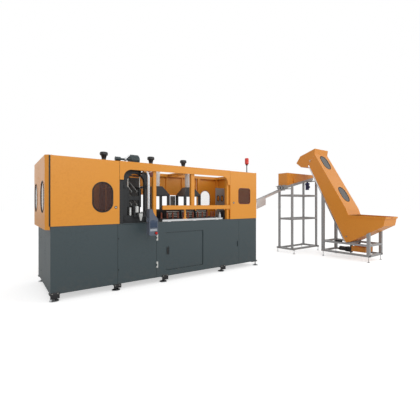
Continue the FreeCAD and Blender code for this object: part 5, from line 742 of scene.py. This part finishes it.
LOCK_RING = [(0.0125, 0.0), (0.0125, 0.0026), (0.018, 0.0026), (0.0215, 0.0004), (0.0215, 0.0), (0.0125, 0.0)]
LOCKS = (("left_lock_ring", 0.89, 1.282, "left_door"), ("right_lock_ring", 3.276, 1.357, "right_door"))
for name, x, z, body in LOCKS:
    bm = bmesh.new()
    turned(bm, LOCK_RING, spot(x, 0, z), -BACK, 32)
    piece(name, bm, body, BLACK_PLASTIC)


DISC_TALL = 0.003


def discs(name, body, places, outward, radius):
    """Round plastic fasteners with a raised middle."""
    bm = bmesh.new()
    for place in places:
        rod(bm, place, place + outward * DISC_TALL, radius, radius * 0.86, 20)
        rod(bm, place, place + outward * DISC_TALL * 1.5, radius * 0.45, radius * 0.4, 12)
    piece(name, bm, body, BLACK_PLASTIC)


discs("base_door_fasteners", "base_door_leaf", [spot(0.935, 0.008, z) for z in (0.799, 0.32)], -BACK, 0.01)
discs("base_end_fasteners", "machine", [spot(0.008, 1.02, z) for z in (0.794, 0.255)], -RIGHT, 0.011)
bm = bmesh.new()
block(bm, spot(0.0055, 0.97, 0.922), spot(0.0085, 1.07, 0.946), 0.001)
piece("base_end_slot", bm, "machine", BLACK_PLASTIC)

# %% [markdown]
# ## Clamp details
# The yokes are bolted castings, with a large nut on each of the three tie bars that show at
# the front. The air parts in front of them are the only white things in the dark bay. The
# guide rods shine where the crosshead never covers them.

# %% Nuts, rods and air parts
YOKE_FACE, NUT_FRONT, BAR_END = 0.1, 0.078, 0.07
bm = bmesh.new()
for x, z in ((1.056, 1.108), (1.056, 1.62), (1.446, 1.62)):
    rod(bm, spot(x, YOKE_FACE, z), spot(x, NUT_FRONT, z), 0.034, sides=6)
    rod(bm, spot(x, NUT_FRONT, z), spot(x, BAR_END, z), 0.02, 0.018, 20)
piece("tie_bar_nuts", bm, "machine", CAST_BLACK)
bm = bmesh.new()
for x in (1.149, 1.353):
    rod(bm, spot(x, 0.2, 1.61), spot(x, 0.2, 1.785), 0.0104)
piece("guide_rod_sleeves", bm, "machine", BRIGHT)
FILTER = [(0.0, 0.0), (0.0265, 0.0), (0.0265, 0.085), (0.02, 0.1), (0.0, 0.106)]
OILER = [(0.0, 0.0), (0.016, 0.0), (0.016, 0.118), (0.01, 0.128), (0.0, 0.128)]
CUP = [(0.0, 0.0), (0.010, 0.0), (0.016, 0.02), (0.032, 0.088), (0.032, 0.119), (0.0, 0.119)]
bm = bmesh.new()
turned(bm, FILTER, spot(1.2605, 0.083, 1.197))
turned(bm, OILER, spot(1.166, 0.13, 1.148))
block(bm, spot(1.422, 0.04, TABLE), spot(1.497, 0.098, 1.1215), 0.004)
turned(bm, CUP, spot(1.305, 0.0335, 1.063))
block(bm, spot(1.285, 0.03, 1.124), spot(1.325, 0.067, 1.146), 0.002)
piece("air_preparation", bm, "machine", BOWL)

# %% [markdown]
# ## Oven side
# Behind the oven stands the grey column of the outlet's drive. At the right end of the table are
# a dark drive housing and a small white oil bottle. The infeed plate's long holes have black
# edging.

# %% Column, housing, bottle, hole edging
COLUMN_FOOT = TABLE + 0.012
bm = bmesh.new()
block(bm, spot(2.375, 0.93, COLUMN_FOOT), spot(2.455, 1.01, 1.5), 0.004)
block(bm, spot(2.355, 0.925, TABLE), spot(2.475, 1.03, COLUMN_FOOT), 0.003)
block(bm, spot(2.385, 0.922, 1.38), spot(2.445, 0.93, 1.46), 0.002)
piece("outlet_drive_column", bm, "machine", INNER_GREY)
bm = bmesh.new()
block(bm, spot(3.104, 0.105, TABLE), spot(3.263, 0.25, 1.21), 0.006, 3)
block(bm, spot(3.117, 0.1, 1.05), spot(3.25, 0.106, 1.19), 0.002)
piece("end_drive_housing", bm, "machine", BLACK)
BOTTLE = [(0.0, 0.0), (0.021, 0.0), (0.022, 0.01), (0.022, 0.1), (0.009, 0.12), (0.009, 0.145), (0.0, 0.145)]
bm = bmesh.new()
turned(bm, BOTTLE, spot(2.982, 0.085, TABLE))
piece("oil_bottle", bm, "machine", PALE_PLASTIC)
bm = bmesh.new()
for x in (3.5285, 3.6435):
    section_ring(bm, facing(spot(x, 0.832, 1.46), RIGHT, UP), 0.028, 0.06, 0.028, SEAL, 32)
piece("infeed_hole_edging", bm, "machine", RUBBER)

# %% [markdown]
# ## Roof details
# The blower's housing is ribbed for cooling, and the beacon's lens is ribbed to scatter its
# light. Both are a row of spun rings.

# %% Blower ribs, elbow, beacon ribs
BLOWER_Y, BLOWER_Z = 0.5, 2.1065
BLOWER_RIBS, BLOWER_PITCH = 7, 0.02
BEACON_RIBS, BEACON_PITCH = 8, 0.0125
bm = bmesh.new()
for k in range(BLOWER_RIBS):
    turned(bm, ring_section(0.086, 0.0935, -0.002, 0.002),
           spot(1.312 + BLOWER_PITCH * k, BLOWER_Y, BLOWER_Z), RIGHT, 40)
piece("blower_ribs", bm, "machine", BASE_GREY)
bm = bmesh.new()
rod(bm, spot(1.2, BLOWER_Y, BLOWER_Z), spot(1.228, BLOWER_Y, BLOWER_Z), 0.027)
rod(bm, spot(1.214, BLOWER_Y, BLOWER_Z), spot(1.294, BLOWER_Y, 2.178), 0.017)
piece("blower_elbow", bm, "machine", TUBE_METAL)
bm = bmesh.new()
for k in range(BEACON_RIBS):
    turned(bm, ring_section(0.0395, 0.0418, -0.003, 0.003),
           spot(3.7, 0.064, 2.195 + BEACON_PITCH * k), UP, 40)
piece("beacon_ribs", bm, "machine", RED_LENS)
bm = bmesh.new()
for x in (0.913, 1.79, 2.51):
    turned(bm, ring_section(0.0655, 0.0685, -0.004, 0.004), spot(x, 0.7, 2.2), UP, 40)
piece("cap_edge_bands", bm, "machine", BLACK)

# %% [markdown]
# ## Pendant
# The pendant is the part that hands touch, so it gets a glass screen, two rows of blank keys, a
# collar round the stop button and a dark red-brown box at the bend of its arm, whose colour is
# painted shade of the orange seen there.

# %% Screen, keys, collar, arm box in painted shade
bm = bmesh.new()
block(bm, spot(1.3255, -0.2795, 0.9665), spot(1.4455, -0.2763, 1.0835), 0.001)
piece("pendant_screen", bm, "pendant", SCREEN_GLASS)
KEY_SIZE = Vector((0.0165, 0.0035, 0.0155))
KEY_PITCH, KEY_ROW_PITCH = 0.0197, 0.0185
bm = bmesh.new()
for row in range(2):
    for column in range(6):
        low = spot(1.3275 + KEY_PITCH * column, -0.2802, 0.9115 + KEY_ROW_PITCH * row)
        block(bm, low, low + KEY_SIZE, 0.0015)
piece("pendant_keys", bm, "pendant", PALE_PLASTIC)
COLLAR = [(0.0212, 0.0), (0.0212, 0.003), (0.025, 0.003), (0.027, 0.0), (0.0212, 0.0)]
bm = bmesh.new()
turned(bm, COLLAR, spot(1.425, -0.28, 0.881), -BACK, 32)
piece("stop_collar", bm, "pendant", BLACK_PLASTIC)
# The box at the arm's bend is dark red-brown as painted shade: the orange there looks this dark in shade.
bm = bmesh.new()
block(bm, spot(1.343, -0.225, 1.765), spot(1.398, -0.175, 1.827), 0.006, 3)
piece("arm_bend_box_painted_shade", bm, "pendant", BROWN_RUBBER_AND_SHADE)

# %% [markdown]
# ## Sorter and elevator
# The roller pulleys carry black belts, the motor is ribbed, and a teal sensor sits on the tall
# post. The casing lies on two slanted tubes, which run down its back to the frame.

# %% Pulley tyres, motor fins, sensor
SLOPE = math.radians(13.0)
along_rollers = Vector((math.cos(SLOPE), 0, math.sin(SLOPE)))
PULLEY_X = 5.675
ROLLER_START_X, ROLLER_START_Z = 5.77, 1.8
PULLEY_Z = ROLLER_START_Z + (PULLEY_X - ROLLER_START_X) * math.tan(SLOPE)
for body, y in (("front_roller", 0.749), ("rear_roller", 0.841)):
    bm = bmesh.new()
    turned(bm, ring_section(0.0295, 0.0335, 0.002, 0.016),
           spot(PULLEY_X, y, PULLEY_Z), along_rollers, 36)
    piece(body + "_tyre", bm, body, RUBBER)
MOTOR_X, MOTOR_Y, MOTOR_FINS, FIN_PITCH = 6.7, 0.658, 9, 0.0135
COWL = [(0.0, 0.0), (0.045, 0.0), (0.0535, 0.006), (0.0535, 0.016), (0.0, 0.016)]
bm = bmesh.new()
for k in range(MOTOR_FINS):
    turned(bm, ring_section(0.049, 0.0555, -0.0022, 0.0022),
           spot(MOTOR_X, MOTOR_Y, 1.765 + FIN_PITCH * k), UP, 32)
turned(bm, COWL, spot(MOTOR_X, MOTOR_Y, 1.7375), UP, 32)
block(bm, spot(6.672, 0.585, 1.79), spot(6.728, 0.612, 1.85), 0.003)
piece("sorter_motor_fins", bm, "machine", MOTOR_BLUE)
bm = bmesh.new()
block(bm, spot(6.85, 0.426, 1.93), spot(6.89, 0.456, 2.01), 0.003)
piece("post_sensor", bm, "machine", TEAL)

# %% Slanted tubes, joint screws, tube caps
BACK_LOW, BACK_HIGH = Vector((0, -0.757, 0.402)), Vector((0, 0.28, 2.41))
back_up = (BACK_HIGH - BACK_LOW).normalized()
back_out = Vector((0, back_up.z, -back_up.y))
TUBE_WIDE, TUBE_DEEP, TUBE_LONG = 0.04, 0.036, 2.09
tube_size = Matrix.Diagonal((TUBE_WIDE, TUBE_DEEP, TUBE_LONG, 1.0))
turn = Matrix((RIGHT, back_out, back_up)).transposed().to_4x4()
bm = bmesh.new()
for x in (ELEVATOR_X + 0.001, ELEVATOR_X + ELEVATOR_WIDE - 0.041):
    start = CORNER + BACK_LOW + RIGHT * (x + TUBE_WIDE / 2) + back_up * 0.03 + back_out * 0.0185
    seat = Matrix.Translation(start + back_up * TUBE_LONG / 2) @ turn @ tube_size
    softened(bm, bmesh.ops.create_cube(bm, size=1.0, matrix=seat)["verts"], 0.004, 3)
piece("casing_rails", bm, "machine", TUBE_METAL)
rows = []
for x, outward in ((ELEVATOR_X - 0.003, -RIGHT), (ELEVATOR_X + ELEVATOR_WIDE + 0.003, RIGHT)):
    for place in spread(FACE_HIGH, BACK_HIGH, 5)[1:-1]:
        rows.append((CORNER + place - face_up * 0.02 + RIGHT * x, outward))
screws("hood_joint_screws", "machine", rows, 0.008)
bm = bmesh.new()
for x in (ELEVATOR_X, ELEVATOR_X + ELEVATOR_WIDE):
    for y0, y1 in ((-1.325, -1.3215), (-0.1285, -0.125)):
        block(bm, spot(x - 0.031, y0, 0.121), spot(x + 0.031, y1, 0.1637), 0.001)
piece("frame_tube_caps", bm, "machine", BLACK_PLASTIC)
